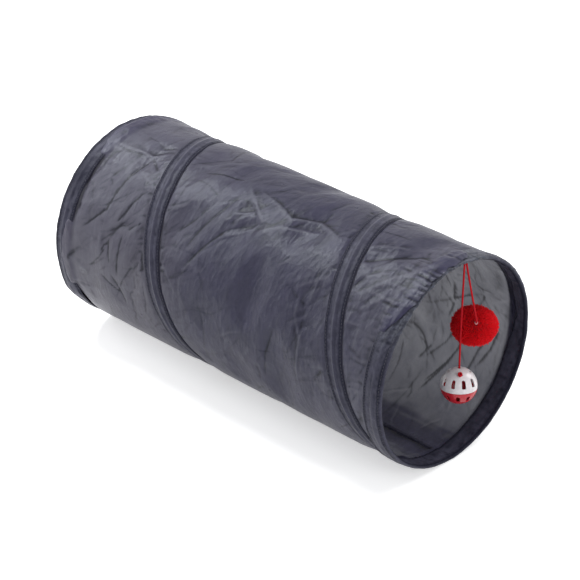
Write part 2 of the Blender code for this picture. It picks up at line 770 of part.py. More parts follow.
def make_lower_shell(parent):
    seam = math.asin(-(BALL_SEAM_DROP + GAP) / BALL_RADIUS)
    outer, inner = shell_outline(-math.pi / 2, seam)
    outer[0] = (0, -BALL_RADIUS)
    inner[-1] = (0, -(BALL_RADIUS - BALL_WALL))
    made = turned(outer + inner, BALL_SEGMENTS, BALL_MIDDLE, ball_matrix())
    shell = mesh_object("ball_lower_shell", made, parent)
    turns = slot_turns(SLOTS_ROUND, LOWER_SLOT_TURN)
    outline = arch(LOWER_SLOT_LOW, LOWER_SLOT_HIGH, SLOT_WIDTH)
    cut(shell, slot_cutter("lower_slots", outline, turns))
    give_material(shell, SHELL_RED, 0.3)


def make_ball_cord_end(parent):
    """The strand's end: from below the crown hole, out of the front slot, to its knot."""
    wall_inside = BALL_RADIUS - BALL_WALL
    slot = CROWN_SLOT_LATITUDE
    between = (math.pi / 2 + slot) / 2
    inside = [
        ball_place(math.pi / 2, 0, wall_inside - SPIN_CLEARANCE),
        ball_place(between, 0, wall_inside - CORD_BEND),
        ball_place(slot, 0, wall_inside - INSIDE_CORD_DEPTH),
        ball_place(slot, 0, BALL_RADIUS + GAP),
    ]
    route = smooth_route(inside, INSIDE_CORD_STEP)
    radii = [1] * len(route)
    widest = CORD_KNOT_RADIUS / CORD_RADIUS
    for along_share, radius_share in KNOT_SHARES:
        radius = BALL_RADIUS + GAP + CORD_KNOT_LENGTH * along_share
        route.append(ball_place(slot, 0, radius))
        radii.append(widest * radius_share)
    cord_object("ball_cord_end", route, parent, radii)


def bowl(radius, wall, steps, side):
    """Half of a hollow ball: the half above its middle for side 1, below it for side -1."""
    outer = arc(radius, math.pi / 2, GAP / 2 / radius, steps)
    inner = arc(radius - wall, GAP / 2 / radius, math.pi / 2, steps)
    outer[0] = (0, radius)
    inner[-1] = (0, radius - wall)
    return [(across, side * height) for across, height in outer + inner]


def make_bell(parent):
    for name, side in (("bell_upper_half", 1), ("bell_lower_half", -1)):
        profile = bowl(BELL_RADIUS, BELL_WALL, BELL_STEPS, side)
        half = mesh_object(name, turned(profile, BELL_SEGMENTS, BELL_MIDDLE), parent)
        give_material(half, BRASS, 0.3, 1.0)
    made = bmesh.new()
    bmesh.ops.create_cube(made, size=1)
    height = BELL_RADIUS - BELL_SLOT_TOP + OVERRUN
    bmesh.ops.scale(made, verts=made.verts, vec=(BELL_SLOT_LENGTH, BELL_SLOT_WIDTH, height))
    middle = BELL_MIDDLE - Vector((0, 0, BELL_SLOT_TOP + height / 2))
    bmesh.ops.translate(made, verts=made.verts, vec=middle)
    cut(half, mesh_object("bell_slot", made))


def make_pellet(parent):
    made = bmesh.new()
    bmesh.ops.create_icosphere(made, subdivisions=PELLET_SUBDIVISIONS, radius=PELLET_RADIUS)
    bmesh.ops.translate(made, verts=made.verts, vec=PELLET_MIDDLE)
    give_material(mesh_object("bell_pellet", made, parent), STEEL, 0.3, 1.0)


def make_pompom(parent):
    made = bmesh.new()
    bmesh.ops.create_icosphere(made, subdivisions=POMPOM_SUBDIVISIONS, radius=1)
    for vert in made.verts:
        vert.co = pompom_place(vert.co.normalized())
    yarn = mesh_object("pompom_yarn", made, parent)
    give_material(yarn, YARN_RED, 0.95)

    foot, normal = tie_frame()
    turn = Vector((0, 0, 1)).rotation_difference(normal).to_matrix().to_4x4()
    depth = (foot - POMPOM_MIDDLE).length
    hole = turned(
        [
            (0, -depth - GAP),
            (TIE_HOLE_RADIUS, -depth - GAP),
            (TIE_HOLE_RADIUS, OVERRUN),
            (0, OVERRUN),
        ],
        TIE_SEGMENTS,
        foot,
        turn,
    )
    cut(yarn, mesh_object("tie_hole", hole))
    rounding = TIE_THICKNESS / 4
    profile = [
        (0, -depth),
        (TIE_WAIST_RADIUS, -depth),
        (TIE_WAIST_RADIUS, GAP),
        (TIE_RADIUS - rounding, GAP),
        (TIE_RADIUS, GAP + rounding),
        (TIE_RADIUS, GAP + TIE_THICKNESS - rounding),
        (TIE_RADIUS - rounding, GAP + TIE_THICKNESS),
        (0, GAP + TIE_THICKNESS),
    ]
    tie = mesh_object("pompom_tie", turned(profile, TIE_SEGMENTS, foot, turn), parent)
    give_material(tie, THREAD_PINK, 0.8)


# The assembly


def build_tube():
    make_skin()
    make_hem("far_hem", -1)
    make_ring_wire("far_ring_wire", -1)
    make_ferrule("far_wire_ferrule", -1, HELIX_LAST_STATION - 1 - FERRULE_STEPS)
    make_helix_wire()
    make_casing()


def build_near_end():
    near_end = add_empty("near_end", (HALF_LENGTH, 0, AXIS_HEIGHT))
    near_hem = make_hem("near_hem", 1)
    make_anchor(near_hem, near_end)
    near_ring = make_ring_wire("near_ring_wire", 1)
    ferrule = make_ferrule("near_wire_ferrule", 1, HELIX_FIRST_STATION + 1)
    for piece in (near_hem, near_ring, ferrule):
        piece.parent = near_end
        piece.matrix_parent_inverse = near_end.matrix_world.inverted()
    return near_end


def build_ball(near_end):
    sideways = add_empty("ball_sideways", BALL_UPPER_PIVOT, near_end)
    make_cord_top("ball_cord_top", BALL_UPPER_PIVOT, sideways)
    fore_aft = add_empty("ball_fore_aft", BALL_LOWER_PIVOT, sideways)
    make_ball_cord(fore_aft)
    spin = add_empty("ball_spin", BALL_MIDDLE, fore_aft)
    make_upper_shell(spin)
    make_lower_shell(spin)
    make_ball_cord_end(spin)
    bell = add_empty("bell_roll", BALL_MIDDLE, spin)
    make_bell(bell)
    make_pellet(add_empty("pellet_roll", BELL_MIDDLE, bell))


def build_pompom(near_end):
    sideways = add_empty("pompom_sideways", POMPOM_UPPER_PIVOT, near_end)
    make_cord_top("pompom_cord_top", POMPOM_UPPER_PIVOT, sideways)
    fore_aft = add_empty("pompom_fore_aft", POMPOM_LOWER_PIVOT, sideways)
    make_pompom_cord(fore_aft)
    make_pompom(fore_aft)


clear_scene()
build_tube()
end = build_near_end()
build_ball(end)
build_pompom(end)
print("least gap between the helix wire's turns:", round(least_helix_gap() / MM, 1), "mm")
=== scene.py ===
"""Looks of a pop-up cat tunnel: crinkled taffeta on spring wire, with two toys in one mouth.

A place on the tube is given by x, by r, its distance from the tube's axis, and by an angle that
starts at the bottom and rises over the -Y side, as in the part's own frame.
"""

import math

import bmesh
import bpy
import numpy as np
from mathutils import Matrix, Vector


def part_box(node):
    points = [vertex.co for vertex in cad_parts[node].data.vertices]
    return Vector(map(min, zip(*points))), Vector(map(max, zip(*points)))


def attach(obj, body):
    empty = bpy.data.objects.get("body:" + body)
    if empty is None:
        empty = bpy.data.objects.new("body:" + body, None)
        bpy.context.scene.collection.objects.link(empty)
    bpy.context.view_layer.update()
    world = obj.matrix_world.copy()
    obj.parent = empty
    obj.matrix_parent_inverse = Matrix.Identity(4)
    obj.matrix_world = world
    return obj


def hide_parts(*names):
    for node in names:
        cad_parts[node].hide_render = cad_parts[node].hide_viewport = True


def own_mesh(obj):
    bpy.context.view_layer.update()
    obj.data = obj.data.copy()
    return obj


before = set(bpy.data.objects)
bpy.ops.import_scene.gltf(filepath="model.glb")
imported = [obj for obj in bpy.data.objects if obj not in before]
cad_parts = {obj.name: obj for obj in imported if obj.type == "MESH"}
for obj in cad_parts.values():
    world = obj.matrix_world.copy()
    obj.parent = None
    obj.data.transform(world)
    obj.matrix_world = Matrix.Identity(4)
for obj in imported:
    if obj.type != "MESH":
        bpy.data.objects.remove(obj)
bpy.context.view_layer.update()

MM = 0.001
SEED = 11

# The tube, in the frame's own sizes
HALF_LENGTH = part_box("near_hem")[1].x
HEM_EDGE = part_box("near_hem")[0].x
SKIN_RADIUS = 116.45 * MM
AXIS_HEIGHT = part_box("skin")[1].z - SKIN_RADIUS
WIRE_PATH_RADIUS = 117.5 * MM
WIRE_RADIUS = 0.75 * MM
WIRE_SIDES = 10
HEM_RADIUS = 120 * MM
SKIN_END = 229.5 * MM
FOOT_SOFTNESS = 0.3 * MM  # how softly the cloth flattens on the floor

# The helix, on the same formula as the part's
RING_WIRE_INSET = 11.8 * MM
HELIX_LEAD = 273 * MM
HELIX_START = 261.9 * MM
HELIX_SWAY = 5.5 * MM
HELIX_SWAY_ANGLE = math.radians(230)
HELIX_MERGE_POWER = 20
HELIX_END_X = HALF_LENGTH - RING_WIRE_INSET - 1.7 * MM
HELIX_FIRST = math.radians(-20)
HELIX_LAST = math.radians(712)
CASING_FIRST = math.radians(22)
CASING_LAST = math.radians(690)
CASING_WIDTH = 24.5 * MM

# The camera
VIEW_AZIMUTH = math.radians(44.1)
VIEW_ELEVATION = math.radians(29)
VIEW_DISTANCE = 2.562
VIEW_HEIGHT = 0.12
LENS = 143.3
SHIFT_X = 0.0092
SHIFT_Y = -0.0128

random = np.random.default_rng(SEED)


# Objects and nodes


def linked(name, data):
    """A new object of the scene that shows this data."""
    obj = bpy.data.objects.new(name, data)
    bpy.context.scene.collection.objects.link(obj)
    return obj


def mesh_from_bmesh(name, made):
    mesh = bpy.data.meshes.new(name)
    made.to_mesh(mesh)
    made.free()
    return mesh


def fill(tree, node, inputs):
    """Gives inputs their values. Each is a plain value, or the output of another node."""
    for name, value in inputs.items():
        if isinstance(value, bpy.types.NodeSocket):
            tree.links.new(value, node.inputs[name])
        else:
            node.inputs[name].default_value = value


def add_node(tree, kind, inputs):
    node = tree.nodes.new(kind)
    fill(tree, node, inputs)
    return node


def math_node(tree, operation, first, second=0):
    node = add_node(tree, "ShaderNodeMath", {0: first, 1: second})
    node.operation = operation
    return node.outputs[0]


def mixed_shaders(tree, share, first, second):
    return add_node(tree, "ShaderNodeMixShader", {0: share, 1: first, 2: second}).outputs[0]


def new_material(name):
    material = bpy.data.materials.new(name)
    material.use_nodes = True
    return material, material.node_tree, material.node_tree.nodes["Principled BSDF"]


# The camera, the light and the floor

AMBIENT = 0.42
AMBIENT_COLOUR = (0.96, 0.98, 1, 1)
WHITE = (1, 1, 1, 1)
FLOOR_SIZE = 12
FLOOR_COLOUR = (0.9, 0.9, 0.9, 1)
FLOOR_GLOW = 0.5
# Name, azimuth and elevation in degrees, distance, size and energy
LAMPS = (
    ("key", -88, 53, 2.2, 0.7, 38),
    ("mouth_fill", 80, 24, 2.2, 1.2, 12),
    ("behind", 160, 38, 2.2, 1.2, 18),
    ("far_side", -60, 26, 1.2, 0.6, 4.4),
)


def look_from(obj, azimuth, elevation, distance):
    """Puts a camera or a lamp at a place round the tunnel, turned to its middle."""
    flat = math.cos(elevation)
    back = Vector((math.sin(azimuth) * flat, -math.cos(azimuth) * flat, math.sin(elevation)))
    obj.location = Vector((0, 0, VIEW_HEIGHT)) + back * distance
    obj.rotation_euler = back.to_track_quat("Z", "Y").to_euler()


def make_camera():
    data = bpy.data.cameras.new("camera")
    data.lens = LENS
    data.shift_x = SHIFT_X
    data.shift_y = SHIFT_Y
    camera = linked("camera", data)
    look_from(camera, VIEW_AZIMUTH, VIEW_ELEVATION, VIEW_DISTANCE)
    bpy.context.scene.camera = camera


def add_lamp(name, azimuth, elevation, distance, size, energy):
    data = bpy.data.lights.new(name, "AREA")
    data.shape = "DISK"
    data.size = size
    data.energy = energy
    look_from(linked(name, data), math.radians(azimuth), math.radians(elevation), distance)


def seen_directly(tree):
    """1 where the camera sees a surface, itself or in glass or metal, and 0 for other rays."""
    rays = tree.nodes.new("ShaderNodeLightPath").outputs
    seen = math_node(tree, "MAXIMUM", rays["Is Camera Ray"], rays["Is Glossy Ray"])
    return math_node(tree, "MAXIMUM", seen, rays["Is Transmission Ray"])


def make_world():
    world = bpy.data.worlds.new("studio")
    bpy.context.scene.world = world
    world.use_nodes = True
    tree = world.node_tree
    ambient = tree.nodes["Background"]
    fill(tree, ambient, {"Color": AMBIENT_COLOUR, "Strength": AMBIENT})
    white = add_node(tree, "ShaderNodeBackground", {"Color": WHITE, "Strength": 1})
    shown = mixed_shaders(tree, seen_directly(tree), ambient.outputs[0], white.outputs[0])
    fill(tree, tree.nodes["World Output"], {"Surface": shown})


def make_floor():
    """A white floor that still takes the object's shadow."""
    made = bmesh.new()
    bmesh.ops.create_grid(made, x_segments=1, y_segments=1, size=FLOOR_SIZE)
    mesh = mesh_from_bmesh("floor", made)
    material, tree, plain = new_material("floor")
    fill(tree, plain, {"Base Color": FLOOR_COLOUR, "Roughness": 1, "Specular IOR Level": 0})
    mesh.materials.append(material)
    glow = add_node(tree, "ShaderNodeEmission", {"Strength": FLOOR_GLOW})
    inputs = {0: plain.outputs[0], 1: glow.outputs[0]}
    glowing = add_node(tree, "ShaderNodeAddShader", inputs)
    shown = mixed_shaders(tree, seen_directly(tree), plain.outputs[0], glowing.outputs[0])
    fill(tree, tree.nodes["Material Output"], {"Surface": shown})
    linked("floor", mesh)


make_camera()
make_world()
make_floor()
for lamp in LAMPS:
    add_lamp(*lamp)


# Meshes

NOISE_SIZE = 256  # values each way, after which noise comes again


def mesh_from_arrays(name, points, faces, uvs=None, smooth=True):
    mesh = bpy.data.meshes.new(name)
    mesh.from_pydata([tuple(p) for p in points], [], [tuple(f) for f in faces])
    if uvs is not None:
        layer = mesh.uv_layers.new(name="cloth")
        corner_verts = np.zeros(len(mesh.loops), int)
        mesh.loops.foreach_get("vertex_index", corner_verts)
        layer.data.foreach_set("uv", np.asarray(uvs, np.float32)[corner_verts].ravel())
    mesh.validate()
    if smooth:
        mesh.shade_smooth()
    return linked(name, mesh)


def store(obj, name, values):
    """Keeps a value for each point of a mesh, for its material."""
    layer = obj.data.attributes.new(name, "FLOAT", "POINT")
    layer.data.foreach_set("value", np.asarray(values).ravel().astype(np.float32))


def grid_faces(rows, columns, wrap_rows=False, wrap_columns=False):
    """Quads over a grid of points that is stored row by row."""
    row = np.arange(rows if wrap_rows else rows - 1)
    column = np.arange(columns if wrap_columns else columns - 1)
    row, column = np.meshgrid(row, column, indexing="ij")
    next_row = (row + 1) % rows
    next_column = (column + 1) % columns
    quads = [
        row * columns + column,
        row * columns + next_column,
        next_row * columns + next_column,
        next_row * columns + column,
    ]
    return np.stack(quads, -1).reshape(-1, 4)


def wound_place(middle, normal, turn, radius, rise):
    """A place at a turn round an axis, at a distance from it and so far up it."""
    first = normal.cross(Vector((0, 0, 1))).normalized()
    second = normal.cross(first)
    place = middle + (first * math.cos(turn) + second * math.sin(turn)) * radius
    return place + normal * rise


def capped_faces(rows, columns, first_reversed=False):
    """Quads round a grid that closes on itself, and a face over each of its two ends."""
    quads = [tuple(f) for f in grid_faces(rows, columns, wrap_columns=True)]
    first = tuple(range(columns))
    last = tuple(range((rows - 1) * columns, rows * columns))
    if first_reversed:
        return [*quads, first[::-1], last]
    return [*quads, first, last[::-1]]


def on_tube(x, r, angle):
    """Places on the tube. Where cloth would reach below the floor, it flattens softly on it."""
    height = AXIS_HEIGHT - r * np.cos(angle)
    height = (height + np.sqrt(height**2 + FOOT_SOFTNESS**2)) / 2
    return np.stack(np.broadcast_arrays(x, -r * np.sin(angle), height), -1)


def smooth_step(value, low, high):
    share = np.clip((value - low) / (high - low), 0, 1)
    return share * share * (3 - 2 * share)


def hump(distance, width):
    return np.exp(-((distance / width) ** 2))


def upper_share(angle):
    """0 at the bottom of the tube and 1 at its top."""
    return (1 - np.cos(angle)) / 2


def circles(first, second, count):
    """Unit circles of points, one for each pair of crosswise directions."""
    turn = np.arange(count) * 2 * math.pi / count
    return (
        first[:, None] * np.cos(turn)[None, :, None]
        + second[:, None] * np.sin(turn)[None, :, None]
    )


def corners(table, i, j, wrap=None):
    """The values of a table at each place, one row on, one column on, and one of both on."""
    rows, columns = table.shape
    wrap = wrap or columns
    row, next_row = i % rows, (i + 1) % rows
    column, next_column = j % wrap % columns, (j + 1) % wrap % columns
    here, right = table[row, column], table[next_row, column]
    return here, right, table[row, next_column], table[next_row, next_column]


def smooth_noise(across, along, seed, wrap=None):
    """Smooth noise over two arrays of places, one lump to each unit. wrap closes it along."""
    table = np.random.default_rng(seed).uniform(-1, 1, (NOISE_SIZE, NOISE_SIZE))
    i = np.floor(across).astype(int)
    j = np.floor(along).astype(int)
    u = across - i
    v = along - j
    u = u * u * (3 - 2 * u)
    v = v * v * (3 - 2 * v)
    here, right, up, far = corners(table, i, j, wrap)
    return (here * (1 - u) + right * u) * (1 - v) + (up * (1 - u) + far * u) * v


# The helix


def helix_line(angle):
    sway = HELIX_SWAY * np.cos(angle - HELIX_SWAY_ANGLE)
    return HELIX_START - HELIX_LEAD * angle / (2 * math.pi) + sway


def helix_x(angle):
    share = helix_line(angle) / HELIX_END_X
    power = HELIX_MERGE_POWER
    return HELIX_END_X * share / (1 + np.abs(share) ** power) ** (1 / power)


def beside_helix(x, angle):
    """How far places on the tube lie from the casing's middle line, along the tube."""
    near_turn = x - helix_x(angle)
    far_turn = x - helix_x(angle + 2 * math.pi)
    return np.where(np.abs(near_turn) < np.abs(far_turn), near_turn, far_turn)


# Materials. A cloth's map is in metres, so a noise's scale is its lumps to the metre.

SKIN_DARK = (0.025, 0.0225, 0.05)
SKIN_LIGHT = (0.051, 0.0465, 0.096)
# Painted shade for the folds, and a painted highlight for the ridges
SKIN_FOLD_SHADE = (0.008, 0.007, 0.016)
SKIN_RIDGE_HIGHLIGHT = (0.13, 0.13, 0.165)
SKIN_FAR_LIGHT = (0.088, 0.08, 0.114)  # painted light, towards the far mouth
GLOW_DARK = (0.155, 0.157, 0.171)
GLOW_LIGHT = (0.248, 0.25, 0.268)
# Painted shade in the folds, for the light through the cloth
GLOW_FOLD_SHADE = (0.07, 0.07, 0.075)
TRANSLUCENCY = 0.4
STRIP_DARK = (0.029, 0.028, 0.044)
STRIP_LIGHT = (0.063, 0.061, 0.092)
# Dark thread and painted shade along the stitch rows, and painted shade in the folds
STRIP_STITCHED_AND_SHADED = (0.018, 0.018, 0.03)
STRIP_ROUGHNESS = 0.44
STRIP_SPECULAR = 0.17
LOOSE_DARK = (0.018, 0.018, 0.028)
LOOSE_LIGHT = (0.064, 0.067, 0.092)
CLOTH_TINT = (0.84, 0.92, 1, 1)  # of what the taffeta reflects
SKIN_ROUGHNESS = (0.21, 0.2)  # the least of it, and how much more it varies by
SKIN_SPECULAR = 0.28
WEAVE_PITCH = 0.45 * MM
WEAVE_DEPTH = 0.06 * MM
STITCH_WOBBLE = 6.0 * MM
GRAIN_SHADE = 0.86


def attribute(tree, name):
    node = tree.nodes.new("ShaderNodeAttribute")
    node.attribute_name = name
    node.attribute_type = "GEOMETRY"
    return node.outputs["Fac"]


def coordinates(tree, name):
    return tree.nodes.new("ShaderNodeTexCoord").outputs[name]


def noise_node(tree, vector, scale, detail=2, roughness=0.5, output="Fac"):
    inputs = {"Scale": scale, "Detail": detail, "Roughness": roughness, "Vector": vector}
    return add_node(tree, "ShaderNodeTexNoise", inputs).outputs[output]


def mapped(tree, vector, scale, turn=0):
    """A map that is turned and stretched."""
    inputs = {"Vector": vector, "Rotation": (0, 0, turn), "Scale": scale}
    return add_node(tree, "ShaderNodeMapping", inputs).outputs[0]


def ramp(tree, value, stops):
    """A colour ramp with stops of (position, colour)."""
    node = add_node(tree, "ShaderNodeValToRGB", {"Fac": value})
    elements = node.color_ramp.elements
    for element, (position, colour) in zip(elements, stops):
        element.position = position
        element.color = (*colour, 1)
    for position, colour in stops[2:]:
        elements.new(position).color = (*colour, 1)
    return node.outputs["Color"]


def bump(tree, height, strength, distance, normal=None):
    inputs = {"Strength": strength, "Distance": distance, "Height": height}
    node = add_node(tree, "ShaderNodeBump", inputs)
    if normal:
        fill(tree, node, {"Normal": normal})
    return node.outputs["Normal"]


def towards(tree, colour, share, shade):
    """Mixes a colour towards another by a share. The other is plain or comes from a node."""
    mix = tree.nodes.new("ShaderNodeMix")
    mix.data_type = "RGBA"
    other = (*shade, 1) if isinstance(shade, tuple) else shade
    fill(tree, mix, {"Factor": share, "A": colour, "B": other})
    return mix.outputs["Result"]


def weave_height(tree, vector):
    """The fine ribs of taffeta: two crossed sets of threads."""
    axes = add_node(tree, "ShaderNodeSeparateXYZ", {0: vector}).outputs
    turns = [math_node(tree, "MULTIPLY", axes[a], 2 * math.pi / WEAVE_PITCH) for a in "XY"]
    return math_node(tree, "MULTIPLY", *[math_node(tree, "SINE", turn) for turn in turns])


def crinkle_height(tree, where, scale, turn, stretch):
    """A net of sharp creases between smooth facets."""
    warp = noise_node(tree, where, scale * 0.6, 1, output="Color")
    shift = tree.nodes.new("ShaderNodeVectorMath")
    shift.operation = "SCALE"
    fill(tree, shift, {0: warp, "Scale": 0.55 / scale})
    moved = add_node(tree, "ShaderNodeVectorMath", {0: where, 1: shift.outputs[0]})
    cells = tree.nodes.new("ShaderNodeTexVoronoi")
    cells.voronoi_dimensions = "2D"
    cells.feature = "DISTANCE_TO_EDGE"
    facets = mapped(tree, moved.outputs[0], (1 / stretch, 1, 1), turn)
    fill(tree, cells, {"Scale": scale, "Vector": facets})
    return math_node(tree, "POWER", cells.outputs["Distance"], 0.7)


def stitch_shade(tree, where, rows, half_width):
    """Nearly 1 along the rows of stitches of a strip, and 0 between them."""
    axes = add_node(tree, "ShaderNodeSeparateXYZ", {0: where}).outputs
    wobble = math_node(tree, "SUBTRACT", noise_node(tree, where, 330, 4, 0.7), 0.5)
    wobble = math_node(tree, "MULTIPLY", wobble, STITCH_WOBBLE)
    across = math_node(tree, "ADD", axes["Y"], wobble)
    total = None
    for row in rows:
        away = math_node(tree, "ABSOLUTE", math_node(tree, "SUBTRACT", across, row))
        near = math_node(tree, "SUBTRACT", 1, math_node(tree, "DIVIDE", away, half_width))
        near = math_node(tree, "SMOOTH_MAX", near)
        total = near if total is None else math_node(tree, "MAXIMUM", total, near)
    return math_node(tree, "POWER", total, 0.6)


def crumpled(tree, where, small, normal=None):
    """The fine crumples of thin cloth, over the larger folds of its mesh."""
    net = bump(tree, crinkle_height(tree, where, 60, 0.7, 2.2), 0.65, 0.9 * MM, normal)
    fine = bump(tree, crinkle_height(tree, where, 150, 0.95, 2.6), 0.7, 0.5 * MM, net)
    grain = bump(tree, noise_node(tree, where, 230, 4, 0.6), 0.3, small, fine)
    return bump(tree, weave_height(tree, where), 0.3, WEAVE_DEPTH, grain)


def skin_cloth():
    """Thin dark taffeta that lets some light through. Painted shade darkens its folds, a highlight
    is painted on its ridges and light is painted in towards the far mouth.
    """
    material, tree, shader = new_material("taffeta")
    where = coordinates(tree, "UV")
    patches = noise_node(tree, where, 26, 5, 0.6)
    streaked = noise_node(tree, mapped(tree, where, (0.3, 1, 1)), 120, 5, 0.6)
    mottle = math_node(tree, "MULTIPLY", math_node(tree, "ADD", patches, streaked), 0.5)
    fold = attribute(tree, "fold")
    colour = ramp(tree, mottle, [(0.3, SKIN_DARK), (0.7, SKIN_LIGHT)])
    # Painted light towards the far mouth
    colour = towards(tree, colour, attribute(tree, "painted_far_light"), SKIN_FAR_LIGHT)
    # Painted shade in the folds
    colour = towards(tree, colour, fold, SKIN_FOLD_SHADE)
    # A painted highlight on the ridges
    colour = towards(tree, colour, attribute(tree, "ridge"), SKIN_RIDGE_HIGHLIGHT)
    least, varied = SKIN_ROUGHNESS
    gloss = math_node(tree, "MULTIPLY", noise_node(tree, where, 45, 4, 0.6), varied)
    normal = crumpled(tree, where, 0.25 * MM)
    inputs = {
        "Base Color": colour,
        "Roughness": math_node(tree, "ADD", gloss, least),
        "Specular IOR Level": SKIN_SPECULAR,
        "Specular Tint": CLOTH_TINT,
        "Normal": normal,
    }
    fill(tree, shader, inputs)
    lit = ramp(tree, noise_node(tree, where, 30, 5, 0.6), [(0.3, GLOW_DARK), (0.7, GLOW_LIGHT)])
    # The light through the cloth, with painted shade in its folds
    inputs = {"Color": towards(tree, lit, fold, GLOW_FOLD_SHADE), "Normal": normal}
    through = add_node(tree, "ShaderNodeBsdfTranslucent", inputs)
    share = math_node(tree, "SUBTRACT", 1, attribute(tree, "backed"))
    share = math_node(tree, "MULTIPLY", share, TRANSLUCENCY)
    shown = mixed_shaders(tree, share, shader.outputs[0], through.outputs[0])
    fill(tree, tree.nodes["Material Output"], {"Surface": shown})
    return material


def strip_cloth(name, rows, half_width=2.8 * MM):
    """Folded taffeta, several layers thick, darker along its rows of stitches for their thread and
    as painted shade, with painted shade in its folds.
    """
    material, tree, shader = new_material(name)
    where = coordinates(tree, "UV")
    fold = attribute(tree, "fold")
    gathered = attribute(tree, "gathered")
    patches = noise_node(tree, where, 70, 5, 0.65)
    blotches = noise_node(tree, where, 190, 4, 0.6)
    loose = ramp(tree, blotches, [(0.42, LOOSE_DARK), (0.6, LOOSE_LIGHT)])
    stitched = stitch_shade(tree, where, rows, half_width)
    stitched = math_node(tree, "MULTIPLY", stitched, math_node(tree, "SUBTRACT", 1, gathered))
    colour = ramp(tree, patches, [(0.3, STRIP_DARK), (0.7, STRIP_LIGHT)])
    colour = towards(tree, colour, gathered, loose)
    # Darker along the stitch rows, for their dark thread and as painted shade
    colour = towards(tree, colour, stitched, STRIP_STITCHED_AND_SHADED)
    # Painted shade in the folds
    colour = towards(tree, colour, fold, STRIP_STITCHED_AND_SHADED)
    dull_and_shaded = math_node(tree, "MAXIMUM", math_node(tree, "MULTIPLY", fold, 0.7), stitched)
    level = math_node(tree, "SUBTRACT", 1, dull_and_shaded)
    level = math_node(tree, "MULTIPLY", level, STRIP_SPECULAR)
    level = math_node(tree, "ADD", level, math_node(tree, "MULTIPLY", gathered, 0.2))
    puckers = noise_node(tree, mapped(tree, where, (1, 0.3, 1)), 330, 4, 0.65)
    inputs = {
        "Base Color": colour,
        "Roughness": STRIP_ROUGHNESS,
        "Specular IOR Level": level,
        "Specular Tint": CLOTH_TINT,
        "Normal": crumpled(tree, where, 0.4 * MM, bump(tree, puckers, 0.6, 0.8 * MM)),
    }
    fill(tree, shader, inputs)
    return material


def plain_finish(name, colour, roughness, metallic=0.0, scale=900, depth=0.03 * MM, specular=0.5):
    """A surface with a faint grain, for wire, brass, thread and moulded plastic."""
    material, tree, shader = new_material(name)
    grain = noise_node(tree, coordinates(tree, "Object"), scale, 3)
    darker = tuple(c * GRAIN_SHADE for c in colour)
    inputs = {
        "Base Color": ramp(tree, grain, [(0.3, darker), (0.7, colour)]),
        "Roughness": roughness,
        "Metallic": metallic,
        "Specular IOR Level": specular,
        "Normal": bump(tree, grain, 0.3, depth),
    }
    fill(tree, shader, inputs)
    return material


STRIP_MAP_START = 0.5  # where the maps of the strips start, so that no place on them is below 0
CASING_ROWS = [STRIP_MAP_START + row for row in (-9.8 * MM, 9.8 * MM)]
HEM_ROWS = [STRIP_MAP_START + row for row in (2.1 * MM, 20.9 * MM, 28.5 * MM, 47.0 * MM)]
SKIN_CLOTH = skin_cloth()
CASING_CLOTH = strip_cloth("casing_taffeta", CASING_ROWS, 3.6 * MM)
HEM_CLOTH = strip_cloth("hem_taffeta", HEM_ROWS)
SEAM_CLOTH = strip_cloth("seam_taffeta", [STRIP_MAP_START + 5.5 * MM])
THREAD = plain_finish("thread", (0.055, 0.057, 0.075), 0.6)
WIRE_STEEL = plain_finish("wire_steel", (0.55, 0.56, 0.58), 0.3, 1.0)
BELL_BRASS = plain_finish("bell_brass", (0.78, 0.6, 0.28), 0.28, 1.0)
WHITE_SHELL = plain_finish("white_shell", (0.86, 0.82, 0.84), 0.22, scale=300)
RED_SHELL = plain_finish("red_shell", (0.58, 0.02, 0.035), 0.25, scale=300)
CORD_RED = plain_finish(
    "cord_red", (0.52, 0.006, 0.014), 0.7, scale=1500, depth=0.1 * MM, specular=0.15
)
CORE_SHADE_RED = plain_finish("core_shade_red", (0.34, 0.002, 0.008), 0.9)
TIE_PINK = plain_finish("tie_pink", (0.8, 0.38, 0.4), 0.7)


def dress(obj, material):
    obj.data.materials.clear()
    obj.data.materials.append(material)


def stand_for(obj, node, body=None):
    """The piece takes a solid's place. It rides a body, unless that is set before."""
    if body:
        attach(obj, body)
    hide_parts(node)


def flatten_with_tunnel(obj):
    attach(obj, "far_end")
    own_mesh(obj)


# The toys' cords

ANCHOR_INSET = 16.2 * MM
ANCHOR_X = HALF_LENGTH - ANCHOR_INSET
CORD_DIAMETER = 2.2 * MM
BALL_TOP = Vector((ANCHOR_X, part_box("ball_cord_top")[1].y - CORD_DIAMETER / 2, 0))
POMPOM_TOP = Vector((ANCHOR_X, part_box("pompom_cord_top")[1].y - CORD_DIAMETER / 2, 0))
UPPER_PIVOT_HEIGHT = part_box("ball_cord_top")[1].z - CORD_DIAMETER / 2
LOWER_PIVOT_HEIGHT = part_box("ball_cord")[1].z - CORD_DIAMETER / 2 * math.sin(math.radians(72))
BALL_RADIUS = 20 * MM
BALL_WALL = 1.2 * MM
BALL_HEIGHT = 77.4 * MM
BALL_LEAN = 1.4 * MM
BALL_BOW = 0.6 * MM
BALL_BOW_SHARES = ((0.3, 0.6), (0.6, 1.0), (0.85, 0.6))  # along the strand, and of its bow
BALL_TILT = math.radians(8)
POMPOM_RADIUS = 25.2 * MM
POMPOM_HALF_HEIGHT = 20.6 * MM
POMPOM_TIE_LATITUDE = math.radians(42)
POMPOM_MIDDLE = Vector(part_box("pompom_yarn")[0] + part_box("pompom_yarn")[1]) / 2
TIE_RADIUS = 2.0 * MM
TIE_THICKNESS = 1.4 * MM
TOUCH = 0.3 * MM  # between pieces that rest on each other
CORD_BEND = 5 * MM
ROUTE_STEPS = 40  # between two of a route's own points, before it is spaced evenly


